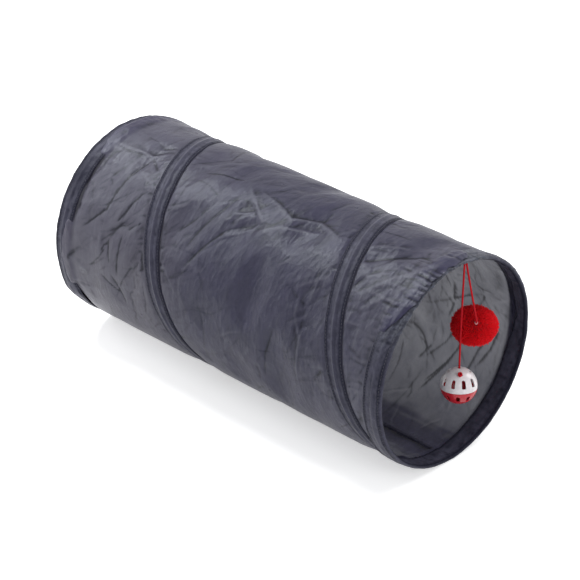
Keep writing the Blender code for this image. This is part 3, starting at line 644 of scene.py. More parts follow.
def towards_view(latitude):
    flat = math.cos(latitude)
    side = math.sin(VIEW_AZIMUTH)
    return Vector((flat * side, -flat * math.cos(VIEW_AZIMUTH), math.sin(latitude)))


BALL_AXIS = -towards_view(BALL_TILT - math.pi / 2)
BALL_MIDDLE = Vector((ANCHOR_X, BALL_TOP.y - BALL_LEAN, BALL_HEIGHT)) - BALL_RADIUS * Vector(
    (BALL_AXIS.x, BALL_AXIS.y, 0)
)
BALL_CROWN = BALL_MIDDLE + BALL_AXIS * (BALL_RADIUS - BALL_WALL)


def smooth_route(points, spacing):
    """Points at an even spacing on a smooth curve through the route's own points."""
    points = np.array(points)
    padded = np.vstack([2 * points[0] - points[1], points, 2 * points[-1] - points[-2]])
    dense = []
    for p0, p1, p2, p3 in zip(padded, padded[1:], padded[2:], padded[3:]):
        for s in np.linspace(0, 1, ROUTE_STEPS, endpoint=False):
            linear = 2 * p1 + (p2 - p0) * s
            curved = (2 * p0 - 5 * p1 + 4 * p2 - p3) * s**2
            dense.append((linear + (curved + (3 * p1 - p0 - 3 * p2 + p3) * s**3)) / 2)
    dense.append(points[-1])
    dense = np.array(dense)
    along = np.concatenate([[0], np.cumsum(np.linalg.norm(np.diff(dense, axis=0), axis=1))])
    places = np.linspace(0, along[-1], max(2, round(along[-1] / spacing) + 1))
    return np.stack([np.interp(places, along, dense[:, axis]) for axis in range(3)], -1)


def frames_along(path):
    """Two crosswise directions at each point of a path, without twist from one to the next."""
    tangents = np.gradient(path, axis=0)
    tangents /= np.linalg.norm(tangents, axis=1)[:, None]
    side = np.cross(tangents[0], (0.3, 0.9, 0.1))
    sides = []
    for tangent in tangents:
        side = side - tangent * (side @ tangent)
        side = side / np.linalg.norm(side)
        sides.append(side)
    sides = np.array(sides)
    return sides, np.cross(tangents, sides)


def tube_arrays(path, radii, sides):
    """The points and faces of a capped tube. radii is one radius for each point and side."""
    path = np.asarray(path)
    first, second = frames_along(path)
    radii = np.broadcast_to(radii, (len(path), sides))
    points = path[:, None] + circles(first, second, sides) * radii[:, :, None]
    return points.reshape(-1, 3), capped_faces(len(path), sides, first_reversed=True)


BRAID_STEP = 0.45 * MM
BRAID_SIDES = 16
BRAID_DEPTH = 0.09 * MM
BRAID_PITCH = 2.6 * MM
BRAID_THREADS = 4  # that cross in each direction


def braided_tube(name, path, radius, round_start=False):
    """A cord with the raised diagonal threads of a braided cover."""
    path = smooth_route(path, BRAID_STEP)
    along = np.arange(len(path)) * BRAID_STEP
    turn = np.arange(BRAID_SIDES) * 2 * math.pi / BRAID_SIDES
    phase = 2 * math.pi * along[:, None] / BRAID_PITCH
    round_by = BRAID_THREADS * turn[None]
    threads = np.cos(round_by + phase) + np.cos(round_by - phase)
    radii = radius + BRAID_DEPTH * (threads / 2 - 1)
    if round_start:
        inside = np.clip(1 - along / radius, 0, 1)
        radii = radii * np.sqrt(np.clip(1 - inside**2, 0.04, 1))[:, None]
    points, faces = tube_arrays(path, radii, BRAID_SIDES)
    cord = mesh_from_arrays(name, points, faces)
    dress(cord, CORD_RED)
    return cord, path


def make_strand(name, node, body, route):
    """A toy's strand, from where it leaves the hem to the toy."""
    strand, path = braided_tube(name, route, CORD_DIAMETER / 2, True)
    stand_for(strand, node, body)


def strand_start(place):
    """The lower strand's pivot, and its start half a cord above."""
    top = Vector((place.x, place.y, LOWER_PIVOT_HEIGHT))
    return top, top + Vector((0, 0, CORD_DIAMETER / 2))


def make_ball_strand():
    top, start = strand_start(BALL_TOP)
    span = BALL_CROWN - top
    bow = Vector((0, -BALL_BOW, 0))
    route = [top + span * along + bow * share for along, share in BALL_BOW_SHARES]
    make_strand("ball_strand", "ball_cord", "ball_strand", [start, *route, BALL_CROWN])


def tie_frame():
    direction = towards_view(POMPOM_TIE_LATITUDE)
    stretch = POMPOM_RADIUS / POMPOM_HALF_HEIGHT
    normal = Vector((direction.x, direction.y, direction.z * stretch)).normalized()
    foot = Vector((direction.x, direction.y, direction.z / stretch)) * POMPOM_RADIUS
    return POMPOM_MIDDLE + foot, normal


def make_pompom_strand():
    foot, normal = tie_frame()
    top, start = strand_start(POMPOM_TOP)
    end = foot + normal * (2 * TOUCH + TIE_THICKNESS)
    bend = end + normal * CORD_BEND
    above = bend + (top - bend).normalized() * CORD_BEND
    turn_in = (bend * 2 + above + end) / 4
    route = [start, (above + top) / 2, above, turn_in, end + normal * CORD_DIAMETER / 2, end]
    make_strand("pompom_strand", "pompom_cord", "pompom", route)


def make_strand_top(name, place, body, node):
    top = Vector((place.x, place.y, UPPER_PIVOT_HEIGHT + CORD_DIAMETER / 2))
    bottom = Vector((place.x, place.y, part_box(node)[0].z))
    route = [top, (top + bottom) / 2, bottom]
    stand_for(braided_tube(name, route, CORD_DIAMETER / 2, True)[0], node, body)


make_ball_strand()
make_pompom_strand()
make_strand_top("ball_strand_bend", BALL_TOP, "ball_strand_top", "ball_cord_top")
make_strand_top("pompom_strand_bend", POMPOM_TOP, "pompom_strand_top", "pompom_cord_top")


# The bight that holds both strands

BIGHT_KNOT_TURNS = 3
BIGHT_KNOT_POINTS = 90
BIGHT_KNOT_HEIGHT = 2.8 * MM
BIGHT_STEM_START = 3.2 * MM
BIGHT_THREAD_SHARE = 0.42  # of the knot's radius


def make_bight():
    """A small knot of the cord under the hem, over the plain anchor's place."""
    low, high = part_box("toy_cord_anchor")
    middle = (low + high) / 2
    radius = (high.x - low.x) / 2
    turn = np.linspace(0, 2 * math.pi, BIGHT_KNOT_POINTS)
    winding = BIGHT_KNOT_TURNS * turn
    thread = BIGHT_THREAD_SHARE * radius
    around = radius - thread
    height = low.z + thread + (1 - np.cos(turn)) / 2 * (BIGHT_KNOT_HEIGHT - 2 * thread)
    x = middle.x + around * np.cos(winding)
    y = middle.y + around * np.sin(winding)
    stem = [(middle.x, middle.y, z) for z in (low.z + BIGHT_STEM_START, high.z - thread)]
    knot = [*np.stack([x, y, height], -1), *stem]
    stand_for(braided_tube("toy_cord_bight", knot, thread)[0], "toy_cord_anchor", "near_end")


make_bight()


# The ball

SHELL_SEGMENTS = 96
SHELL_RINGS = 26
SEAM_DROP = 2.4 * MM
SLOTS_ROUND = 10
SLOT_WIDTH = 4.2 * MM
CROWN_HOLE = 1.7 * MM
UPPER_SLOT = (math.radians(9), math.radians(37), math.radians(12.5))  # low, high and turn
LOWER_SLOT = (math.radians(-42), math.radians(-18), math.radians(-6))
CROWN_SLOTS = 4
CROWN_SLOT_LATITUDE = math.radians(54)
CROWN_SLOT_LENGTH = 6.4 * MM
CROWN_SLOT_WIDTH = 2.8 * MM
SHELL_LIP = 0.25 * MM
CUT_OVERRUN = 3 * MM
ARCH_STEPS = 10
ARCH_CORNER_SHARE = 0.4  # of half the slot's width
OVAL_STEPS = 24
BOTTOM_LATITUDE = math.radians(-89.5)
SHARP_ANGLE = math.radians(35)


def ball_matrix():
    lean = Vector((0, 0, 1)).rotation_difference(BALL_AXIS).to_matrix().to_4x4()
    return lean @ Matrix.Rotation(VIEW_AZIMUTH, 4, "Z")


def ball_place(latitude, turn, radius):
    flat = math.cos(latitude)
    local = Vector((flat * math.sin(turn), -flat * math.cos(turn), math.sin(latitude)))
    return BALL_MIDDLE + ball_matrix() @ (local * radius)


def shell_arrays(low, high):
    """A thick turned shell between two latitudes, with small rounded lips at both rims."""
    profile = []
    lip = SHELL_LIP / BALL_RADIUS
    inner_radius = BALL_RADIUS - BALL_WALL
    for latitude in np.linspace(low + lip, high - lip, SHELL_RINGS):
        profile.append((latitude, BALL_RADIUS))
    profile.append((high, BALL_RADIUS - SHELL_LIP))
    profile.append((high, inner_radius + SHELL_LIP))
    for latitude in np.linspace(high - lip, low + lip, SHELL_RINGS):
        profile.append((latitude, inner_radius))
    profile.append((low, inner_radius + SHELL_LIP))
    profile.append((low, BALL_RADIUS - SHELL_LIP))
    points = []
    for latitude, radius in profile:
        for step in range(SHELL_SEGMENTS):
            points.append(ball_place(latitude, 2 * math.pi * step / SHELL_SEGMENTS, radius))
    return points, grid_faces(len(profile), SHELL_SEGMENTS, wrap_rows=True, wrap_columns=True)


def arch(low, high, width):
    half = width / 2 / BALL_RADIUS
    corner = half * ARCH_CORNER_SHARE
    outline = [(-half, low + corner), (-half + corner, low)]
    outline += [(half - corner, low), (half, low + corner)]
    for step in range(ARCH_STEPS + 1):
        bend = math.pi * step / ARCH_STEPS
        outline.append((half * math.cos(bend), high - half + half * math.sin(bend)))
    return outline


def oval(latitude, length, height):
    outline = []
    for step in range(OVAL_STEPS):
        turn = 2 * math.pi * step / OVAL_STEPS
        across = length / 2 / BALL_RADIUS * math.cos(turn)
        outline.append((across, latitude + height / 2 / BALL_RADIUS * math.sin(turn)))
    return outline


def cut_slots(shell, outline, count, first):
    """Cuts a ring of holes through a shell for good."""
    made = bmesh.new()
    middle = sum(latitude for across, latitude in outline) / len(outline)
    for slot in range(count):
        turn = first + 2 * math.pi * slot / count
        layers = []
        for radius in (BALL_RADIUS - BALL_WALL - CUT_OVERRUN, BALL_RADIUS + CUT_OVERRUN):
            layer = []
            for across, latitude in outline:
                place = ball_place(latitude, turn + across / math.cos(middle), radius)
                layer.append(made.verts.new(place))
            layers.append(layer)
        made.faces.new(layers[0])
        made.faces.new(layers[1])
        for i in range(len(outline)):
            j = (i + 1) % len(outline)
            made.faces.new((layers[0][i], layers[0][j], layers[1][j], layers[1][i]))
    bmesh.ops.recalc_face_normals(made, faces=made.faces)
    cutter = linked("cutter", mesh_from_bmesh("cutter", made))
    boolean = shell.modifiers.new("slots", "BOOLEAN")
    boolean.object = cutter
    boolean.operation = "DIFFERENCE"
    boolean.solver = "EXACT"
    settle(shell)
    bpy.data.objects.remove(cutter, do_unlink=True)


def settle(obj):
    """Applies an object's modifiers."""
    graph = bpy.context.evaluated_depsgraph_get()
    graph.update()
    final = bpy.data.meshes.new_from_object(obj.evaluated_get(graph))
    obj.modifiers.clear()
    obj.data = final


def make_shell(name, node, low, high, slots, material, crown):
    points, faces = shell_arrays(low, high)
    shell = mesh_from_arrays(name, points, faces)
    made = bmesh.new()
    made.from_mesh(shell.data)
    bmesh.ops.recalc_face_normals(made, faces=made.faces)
    made.to_mesh(shell.data)
    made.free()
    slot_low, slot_high, turn = slots
    cut_slots(shell, arch(slot_low, slot_high, SLOT_WIDTH), SLOTS_ROUND, turn)
    if crown:
        outline = oval(CROWN_SLOT_LATITUDE, CROWN_SLOT_LENGTH, CROWN_SLOT_WIDTH)
        cut_slots(shell, outline, CROWN_SLOTS, 0)
    shell.data.shade_smooth()
    shell.data.set_sharp_from_angle(angle=SHARP_ANGLE)
    dress(shell, material)
    stand_for(shell, node, "ball")


def make_ball():
    seam = math.asin(-SEAM_DROP / BALL_RADIUS)
    gap = TOUCH / BALL_RADIUS
    crown = math.acos(CROWN_HOLE / BALL_RADIUS)
    upper = (seam, crown, UPPER_SLOT, WHITE_SHELL, True)
    lower = (BOTTOM_LATITUDE, seam - gap, LOWER_SLOT, RED_SHELL, False)
    make_shell("ball_white_shell", "ball_upper_shell", *upper)
    make_shell("ball_red_shell", "ball_lower_shell", *lower)


KNOT_RADIUS = 2.6 * MM
KNOT_LENGTH = 3.6 * MM
KNOT_THREAD = 0.95 * MM
KNOT_STEPS = 60
KNOT_TURNS = 3
KNOT_WAVES = 2


def make_ball_knot():
    """The strand's end inside the ball, and its knot outside the front crown slot."""
    inside = BALL_RADIUS - BALL_WALL
    slot = CROWN_SLOT_LATITUDE
    route = [
        ball_place(math.pi / 2, 0, inside - 1.0 * MM),
        ball_place((math.pi / 2 + slot) / 2, 0, inside - CORD_BEND),
        ball_place(slot, 0, inside - 3.5 * MM),
        ball_place(slot, 0, BALL_RADIUS + TOUCH),
    ]
    middle = ball_place(slot, 0, BALL_RADIUS + TOUCH + KNOT_LENGTH / 2)
    normal = (middle - BALL_MIDDLE).normalized()
    around = KNOT_RADIUS - KNOT_THREAD
    knot = []
    for step in range(KNOT_STEPS + 1):
        turn = 2 * math.pi * step / KNOT_STEPS
        wave = math.sin(KNOT_WAVES * turn) * (KNOT_LENGTH / 2 - KNOT_THREAD)
        knot.append(wound_place(middle, normal, KNOT_TURNS * turn, around, wave))
    stem = braided_tube("ball_cord_inside", route, CORD_DIAMETER / 2)[0]
    stand_for(stem, "ball_cord_end", "ball")
    loops = braided_tube("ball_cord_knot", knot, KNOT_THREAD)[0]
    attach(loops, "ball")


make_ball()
make_ball_knot()
for node in ("bell_upper_half", "bell_lower_half"):
    dress(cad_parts[node], BELL_BRASS)
STEEL_NODES = ("near_ring_wire", "far_ring_wire", "near_wire_ferrule", "far_wire_ferrule")
for node in ("bell_pellet", *STEEL_NODES):
    dress(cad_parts[node], WIRE_STEEL)


# The pom-pom

YARN_COUNT = 5200
YARN_RADIUS = 0.68 * MM
YARN_SIDES = 4
YARN_STEPS = 4
YARN_INNER_SHARE = 0.6
YARN_RAGGED = 0.035
CORE_SHARE = 0.88
YARN_SCATTER = 0.012
YARN_SWAY = 0.6 * MM
YARN_TIP_SHARE = 0.45  # of its radius
LUMP_SHARE = 0.025
LUMPS_ACROSS = 2.4
LUMPS_UP = 2
TIE_CLEARANCE = 0.9  # of the tie's radius, within which no yarn stands


def pompom_surface(directions):
    """How far the cut yarn reaches in each direction from the middle."""
    x, y, z = directions.T
    lumps = smooth_noise(x * LUMPS_ACROSS + 40, y * LUMPS_ACROSS + z * LUMPS_UP + 60, 5)
    stretch = np.array([POMPOM_RADIUS, POMPOM_RADIUS, POMPOM_HALF_HEIGHT])
    return directions * stretch * (1 + LUMP_SHARE * lumps)[:, None]


# Painted shade: darker deep between the yarns, brighter at their tips
YARN_SHADED_REDS = ((0.0, (0.25, 0.0, 0.003)), (0.5, (0.52, 0.001, 0.006)), (1.0, (0.78, 0.002, 0.009)))


def yarn_material():
    material, tree, shader = new_material("pompom_yarn_red")
    inputs = {
        "Base Color": ramp(tree, attribute(tree, "depth"), YARN_SHADED_REDS),
        "Roughness": 0.85,
        "Specular IOR Level": 0.2,
        "Sheen Weight": 0.12,
        "Sheen Roughness": 0.5,
        "Sheen Tint": (1, 0.3, 0.3, 1),
    }
    fill(tree, shader, inputs)
    return material


def yarn_ends():
    """The direction of each yarn, its end from the middle, and how far its tip sways."""
    generator = np.random.default_rng(SEED)
    index = np.arange(YARN_COUNT) + 0.5
    height = 1 - 2 * index / YARN_COUNT
    turn = index * math.pi * (3 - math.sqrt(5))
    flat = np.sqrt(1 - height**2)
    directions = np.stack([flat * np.cos(turn), flat * np.sin(turn), height], -1)
    directions += generator.normal(0, YARN_SCATTER, directions.shape)
    directions /= np.linalg.norm(directions, axis=1)[:, None]
    ends = pompom_surface(directions)
    ends *= (1 + generator.uniform(-YARN_RAGGED, YARN_RAGGED * 0.6, YARN_COUNT))[:, None]
    return directions, ends, generator.normal(0, YARN_SWAY, directions.shape)


def yarn_arrays():
    """The points and faces of all the yarns, and each point's share of the way to a tip."""
    tie_foot = np.array(tie_frame()[0])
    centre = np.array(POMPOM_MIDDLE)
    points = []
    faces = []
    depths = []
    ring = np.arange(YARN_SIDES) * 2 * math.pi / YARN_SIDES
    for direction, end, lean in zip(*yarn_ends()):
        if np.linalg.norm(centre + end - tie_foot) < TIE_RADIUS * TIE_CLEARANCE:
            continue
        side = np.cross(direction, (0.31, 0.87, 0.37))
        side /= np.linalg.norm(side)
        other = np.cross(direction, side)
        base = len(points)
        for step in range(YARN_STEPS):
            share = step / (YARN_STEPS - 1)
            along = YARN_INNER_SHARE + (1 - YARN_INNER_SHARE) * share
            middle = centre + end * along + lean * share**2
            radius = YARN_RADIUS * (1 if step < YARN_STEPS - 1 else YARN_TIP_SHARE)
            for bend in ring:
                points.append(middle + (side * math.cos(bend) + other * math.sin(bend)) * radius)
                depths.append(share)
        for step in range(YARN_STEPS - 1):
            for corner in range(YARN_SIDES):
                following = (corner + 1) % YARN_SIDES
                low = base + step * YARN_SIDES
                high = low + YARN_SIDES
                faces.append((low + corner, low + following, high + following, high + corner))
        last = base + (YARN_STEPS - 1) * YARN_SIDES
        faces.append(tuple(last + corner for corner in range(YARN_SIDES)))
    return points, faces, depths


def make_pompom():
    """Cut yarn: thousands of short strands that stand out from a small core."""
    points, faces, depths = yarn_arrays()
    yarn = mesh_from_arrays("pompom_cut_yarn", points, faces)
    # Where along the yarn each point is, for its painted shade
    store(yarn, "depth", depths)
    dress(yarn, yarn_material())
    stand_for(yarn, "pompom_yarn", "pompom")


# A dark core: painted shade that fills the gaps deep between the yarns
def make_pompom_core():
    made = bmesh.new()
    bmesh.ops.create_icosphere(made, subdivisions=4, radius=1)
    for vert in made.verts:
        surface = pompom_surface(np.array([vert.co.normalized()]))[0]
        vert.co = POMPOM_MIDDLE + Vector(surface) * CORE_SHARE
    core = linked("pompom_shade_core", mesh_from_bmesh("pompom_shade_core", made))
    core.data.shade_smooth()
    dress(core, CORE_SHADE_RED)
    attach(core, "pompom")


TIE_THREAD = 0.5 * MM
TIE_STEPS = 120
TIE_TURNS = 4


def make_tie():
    """Thread wound and knotted at the foot of the strand."""
    foot, normal = tie_frame()
    path = []
    for step in range(TIE_STEPS + 1):
        share = step / TIE_STEPS
        turn = 2 * math.pi * TIE_TURNS * share
        around = (TIE_RADIUS - TIE_THREAD) * (0.65 + 0.35 * math.sin(9 * share))
        rise = TOUCH + TIE_THREAD + (TIE_THICKNESS - 2 * TIE_THREAD) * share
        path.append(wound_place(foot, normal, turn, around, rise))
    path.append(foot + normal * (TOUCH + TIE_THICKNESS - TIE_THREAD))
    tie = braided_tube("pompom_tie_thread", path, TIE_THREAD)[0]
    dress(tie, TIE_PINK)
    stand_for(tie, "pompom_tie", "pompom")


make_pompom()
make_pompom_core()
make_tie()


# Shapes that the skin, the casing and the hems share

CASING_TUCK = 228 * MM
HEM_STATIONS = 620
HEM_THICKNESS = 0.6 * MM
HEM_FLAT = 119.1 * MM
HEM_RIDGE = 0.7 * MM
HEM_RIDGE_WIDTH = 2.3 * MM
HEM_INSIDE = 115.2 * MM
HEM_STITCHES = (227.4 * MM, 246.2 * MM)
HEM_HELIX_RIDGE = 1.0 * MM
HEM_OVER_STRIP = 0.3 * MM
HEM_EDGE_DROP = 0.75 * MM
HEM_EDGE_REACH = 1.1 * MM
HEM_STITCH_HOLLOW = 0.4 * MM
HEM_STITCH_SPAN = 1.2 * MM
HELIX_END_FADE = 0.2  # in radians
GATHERED_PITCH = 3.1 * MM
RING_WIRE_X = HALF_LENGTH - RING_WIRE_INSET
# Where the near mouth is gathered tightly, in degrees
GATHERED = (104, 138, 186, 210)
GATHERED_SHARE = 1.1
# Where the near hem's inner edge stops short, in degrees, and how far, in millimetres
SHORT_EDGE_ANGLES = (196, 206, 243, 251, 263, 267, 270, 284, 294)
SHORT_EDGE_DEPTHS = (0, 9, 9, 6.5, 7, 9, 6, 2, 0)
# Where a hem stands out more: degrees, span in degrees and size, at each end
HEM_FLARES = {1: ((232, 20, 1.7 * MM), (272, 26, 1.2 * MM)), -1: ((62, 9, 2.2 * MM),)}
# How deep a fold is beside its near and its wider neighbours, where its painted shade is at its
# darkest
FOLD_NEAR = 0.2 * MM
FOLD_WIDE = 1.1 * MM
# How strongly a highlight is painted on the ridges
RIDGE_HIGHLIGHT_SHARE = 0.5


def blurred(values, reach):
    """The mean of each place's neighbours on a grid."""
    total = np.zeros(values.shape)
    steps = range(-reach, reach + 1)
    for step in steps:
        total += np.roll(values, step, axis=1)
    across = total / len(steps)
    padded = np.pad(across, ((reach, reach), (0, 0)), mode="edge")
    total = np.zeros(values.shape)
    for step in range(len(steps)):
        total += padded[step : step + len(values)]
    return total / len(steps)


def fold_shade(radius):
    """How much shade is painted in: 1 in the bottom of a sharp fold, 0 on open cloth. Given the
    negated radius, it marks the ridges for a painted highlight.
    """
    near = blurred(radius, 1) - radius
    wide = blurred(radius, 4) - radius
    return np.clip(near / FOLD_NEAR + wide / FOLD_WIDE, 0, 1)


def ripples(angle, along, seed):
    """Puckers that cross a strip sewn round the tube."""
    u = angle * SKIN_RADIUS
    wide = smooth_noise(u / (10 * MM), along / (9 * MM) + 40, seed)
    return wide + 0.6 * smooth_noise(u / (4.6 * MM), along / (6 * MM) + 40, seed + 1)


def round_noise(angle, lump, start, seed):
    """Noise round the tube alone, in lumps of a length. start picks one of a seed's rows."""
    return smooth_noise(angle * SKIN_RADIUS / lump, 0 * angle + start, seed)


def gathers(along, across, pitch, seed):
    """Small folds side by side, which waver and come and go. The arguments are places."""
    waver = 1.7 * MM * smooth_noise(along / (14 * MM) + 20, across / (9 * MM) + 40, seed)
    lines = smooth_noise((along + waver) / pitch, across / (34 * MM) + 40, seed + 1)
    strength = smooth_noise(along / (11 * MM) + 60, across / (16 * MM) + 70, seed + 2)
    return lines * np.clip(0.4 + 1.1 * strength, 0, 1.5)


def gathered_share(angle):
    """1 where the near mouth is gathered tightly, by the toys' cord."""
    degrees = np.degrees(angle % (2 * math.pi))
    start, full, falling, end = GATHERED
    return smooth_step(degrees, start, full) * (1 - smooth_step(degrees, falling, end))


def inner_edge(angle, side):
    """How far short of the rest a hem's inner edge stops."""
    degrees = np.degrees(angle % (2 * math.pi))
    return np.interp(degrees, SHORT_EDGE_ANGLES, SHORT_EDGE_DEPTHS) * MM * (side > 0)


def hem_flare(x, angle, side):
    """How far the hem's outer layer stands out more than the rest in a few places."""
    degrees = np.degrees(angle % (2 * math.pi))
    total = 0
    for middle, span, size in HEM_FLARES[side]:
        total = total + size * hump(degrees - middle, span)
    return total * smooth_step(x, HEM_EDGE, HEM_EDGE + 10 * MM)


def hem_radius(x, angle, side):
    """The outer layer of a hem, over the ring wire and the end of the helix."""
    ring = hump(x - RING_WIRE_X, HEM_RIDGE_WIDTH)
    turn = angle if side > 0 else angle + 2 * math.pi
    helix = hump(x - side * helix_x(turn), HEM_RIDGE_WIDTH)
    helix = helix * smooth_step(turn, HELIX_FIRST, HELIX_FIRST + HELIX_END_FADE)
    helix = helix * smooth_step(HELIX_LAST - turn, 0, HELIX_END_FADE)
    strip = smooth_step(CASING_WIDTH / 2 + 1.5 * MM - np.abs(x - side * helix_x(turn)), 0, 2 * MM)
    strip = strip * smooth_step(CASING_TUCK + 3 * MM - x, 0, 3 * MM)
    edge = np.exp(-(x - HEM_EDGE) / HEM_EDGE_REACH)
    radius = HEM_FLAT + HEM_RIDGE * ring + HEM_HELIX_RIDGE * helix * (1 - ring)
    radius = radius + HEM_OVER_STRIP * strip - HEM_EDGE_DROP * edge * (1 - strip)
    for row in HEM_STITCHES:
        radius = radius - HEM_STITCH_HOLLOW * hump(x - row, HEM_STITCH_SPAN)
    puckers = ripples(angle % (2 * math.pi), x, 71 + side)
    puckers = puckers * (0.22 + 0.4 * upper_share(angle) ** 2)
    tight = gathers(angle * SKIN_RADIUS, x, GATHERED_PITCH, 77)
    puckers = puckers + GATHERED_SHARE * gathered_share(angle) * (side > 0) * (tight - 0.4)
    return radius + hem_flare(x, angle, side) + MM * puckers * (1 - 0.6 * ring)


# The skin: a tube of thin cloth, held by the hems and the casing, with a little to spare


# The part's own main folds, on its stations
REST_HALF_ANGLE = math.asin(15 * MM / HEM_RADIUS)
TURN_STATIONS = 47
SKIN_LENGTHWAYS_STEPS = 18
FOLD_DEPTH = 3.4 * MM
FOLD_BOTTOM_SHARE = 0.35
FOLD_MARGIN = 3 * MM
FOLD_FADE = 20 * MM
FOLD_WAVES_ALONG = 3.3
FOLD_WAVES_ROUND = 3
FOLD_CROSSING_WAVES_ALONG = 5.2
FOLD_CROSSING_WAVES_ROUND = 5
FOLD_TAUT_ANGLES = (math.radians(37), math.radians(217))
FOLD_TAUT_SPAN = math.radians(42)
FOLD_TAUT_SHARE = 0.2

# The cloth simulation and the fine mesh
CLOTH_STEP = 4.6 * MM
CLOTH_FRAMES = 26
CLOTH_SPARE = 0.022
CLOTH_BLUR = 2  # neighbours that each place is evened out with, to leave only the broad waves
CLOTH_REACH = 4.5 * MM  # the furthest that the simulated cloth goes from its first shape
CLOTH_HELD = 10.5 * MM  # half the width that the casing holds
CLOTH_JITTER = 0.25 * MM  # so that it knows which way to buckle
HEM_HELD = 222 * MM
FINE_STEP = 1.5 * MM
SKIN_BULGE = 0.9 * MM  # how far the cloth stands out between its seams
TAUT_BULGE = 1.7 * MM  # how much further where the photograph's outlines are straight
TAUT_RISE = 24 * MM  # from the casing to all of it
SKIN_OUTERMOST = 117.6 * MM  # beyond this the cloth gives way only a little


def taut_share(angle):
    """Less than one where the photograph's straight outlines show the cloth taut."""
    share = 1
    for taut in FOLD_TAUT_ANGLES:
        apart = np.abs((angle - taut + math.pi) % (2 * math.pi) - math.pi)
        near = (1 + np.cos(math.pi * np.minimum(apart / FOLD_TAUT_SPAN, 1))) / 2
        share = share * (1 - (1 - FOLD_TAUT_SHARE) * near)
    return share


def tautness(angle):
    """1 in the middle of the taut stretches, and 0 away from them."""
    return (1 - taut_share(angle)) / (1 - FOLD_TAUT_SHARE)


def fold_depth(x, angle):
    """The part's own main folds: how far its skin lies inside the plain tube."""
    along = 2 * math.pi * x / (2 * HALF_LENGTH)
    first = np.sin(FOLD_WAVES_ALONG * along + FOLD_WAVES_ROUND * angle)
    second = np.cos(FOLD_CROSSING_WAVES_ALONG * along - FOLD_CROSSING_WAVES_ROUND * angle)
    wave = (1 + first * second) / 2
    to_casing = np.abs(beside_helix(x, angle)) - CASING_WIDTH / 2
    to_seam = np.minimum(HEM_EDGE - np.abs(x), to_casing)
    fade = np.clip((to_seam - FOLD_MARGIN) / FOLD_FADE, 0, 1)
    fade = fade * (FOLD_BOTTOM_SHARE + (1 - FOLD_BOTTOM_SHARE) * upper_share(angle))
    return FOLD_DEPTH * wave * fade * taut_share(angle)


def folded_depth(x, angle):
    """The same folds as flat facets between the part's own stations."""
    last = HEM_EDGE - FOLD_MARGIN
    step = 2 * last / SKIN_LENGTHWAYS_STEPS
    turn_step = (2 * math.pi - 2 * REST_HALF_ANGLE) / (TURN_STATIONS - 1)
    lines = np.linspace(-last, last, SKIN_LENGTHWAYS_STEPS + 1)
    turns = REST_HALF_ANGLE + np.arange(TURN_STATIONS) * turn_step
    corner_x, corner_angle = np.meshgrid(lines, turns, indexing="ij")
    depths = fold_depth(corner_x, corner_angle)
    p = np.clip((x + last) / step, 0, SKIN_LENGTHWAYS_STEPS - 1e-6)
    q = np.clip((angle % (2 * math.pi) - REST_HALF_ANGLE) / turn_step, 0, TURN_STATIONS - 1 - 1e-6)
    i = p.astype(int)
    j = q.astype(int)
    a = p - i
    b = q - j
    here, right, up, far = corners(depths, i, j)
    return (here * (1 - b) + up * b) * (1 - a) + (right * (1 - b) + far * b) * a


def skin_rest_radius(x, angle):
    return SKIN_RADIUS - folded_depth(x, angle)


def skin_held(x, angle):
    """Whether the cloth is sewn down here."""
    return (np.abs(x) > HEM_HELD) | (np.abs(beside_helix(x, angle)) < CLOTH_HELD)


def settle_cloth(cloth, held_places):
    """Runs the simulation, and gives where each point is at its end. The cloth is removed."""
    held = cloth.vertex_groups.new(name="held")
    held.add([int(i) for i in held_places], 1, "REPLACE")
    settings = cloth.modifiers.new("cloth", "CLOTH").settings
    settings.vertex_group_mass = "held"
    settings.quality = 6
    settings.mass = 0.08
    settings.tension_stiffness = 18
    settings.compression_stiffness = 18
    settings.shear_stiffness = 6
    settings.bending_stiffness = 0.5
    settings.shrink_min = -CLOTH_SPARE
    settings.shrink_max = -CLOTH_SPARE
    settings.effector_weights.gravity = 0
    cloth.modifiers["cloth"].point_cache.frame_end = CLOTH_FRAMES
    scene = bpy.context.scene
    for step in range(1, CLOTH_FRAMES + 1):
        scene.frame_set(step)
    settled = cloth.evaluated_get(bpy.context.evaluated_depsgraph_get()).data
    places = np.zeros(len(settled.vertices) * 3, np.float32)
    settled.vertices.foreach_get("co", places)
    bpy.data.objects.remove(cloth, do_unlink=True)
    scene.frame_set(1)
    return places


def simulate_skin(rows, columns):
    """Lets the cloth settle, and gives how far each point of a grid went, along, out and round."""
    x, angle = np.meshgrid(
        np.linspace(-SKIN_END, SKIN_END, rows),
        np.arange(columns) * 2 * math.pi / columns,
        indexing="ij",
    )
    radius = skin_rest_radius(x, angle)
    start = radius + random.normal(0, CLOTH_JITTER, radius.shape)
    height = AXIS_HEIGHT - start * np.cos(angle)
    points = np.stack([x, -start * np.sin(angle), height], -1).reshape(-1, 3)
    faces = grid_faces(rows, columns, wrap_columns=True)
    cloth = mesh_from_arrays("cloth_at_rest", points, faces, smooth=False)
    held_places = np.flatnonzero(skin_held(x, angle).ravel())
    moved = settle_cloth(cloth, held_places).reshape(rows, columns, 3)
    across = -moved[..., 1]
    down = AXIS_HEIGHT - moved[..., 2]
    new_angle = np.arctan2(across, down)
    round_by = (new_angle - angle + math.pi) % (2 * math.pi) - math.pi
    shifts = [moved[..., 0] - x, np.hypot(across, down) - radius, round_by * SKIN_RADIUS]
    shifts = [blurred(blurred(shift, CLOTH_BLUR), CLOTH_BLUR) for shift in shifts]
    return np.stack([CLOTH_REACH * np.tanh(shift / CLOTH_REACH) for shift in shifts])


def cubic_weights(share):
    """Weights of four neighbours for a smooth curve through a row of values."""
    return [
        (-share + 2 * share**2 - share**3) / 2,
        (2 - 5 * share**2 + 3 * share**3) / 2,
        (share + 4 * share**2 - 3 * share**3) / 2,
        (-(share**2) + share**3) / 2,
    ]


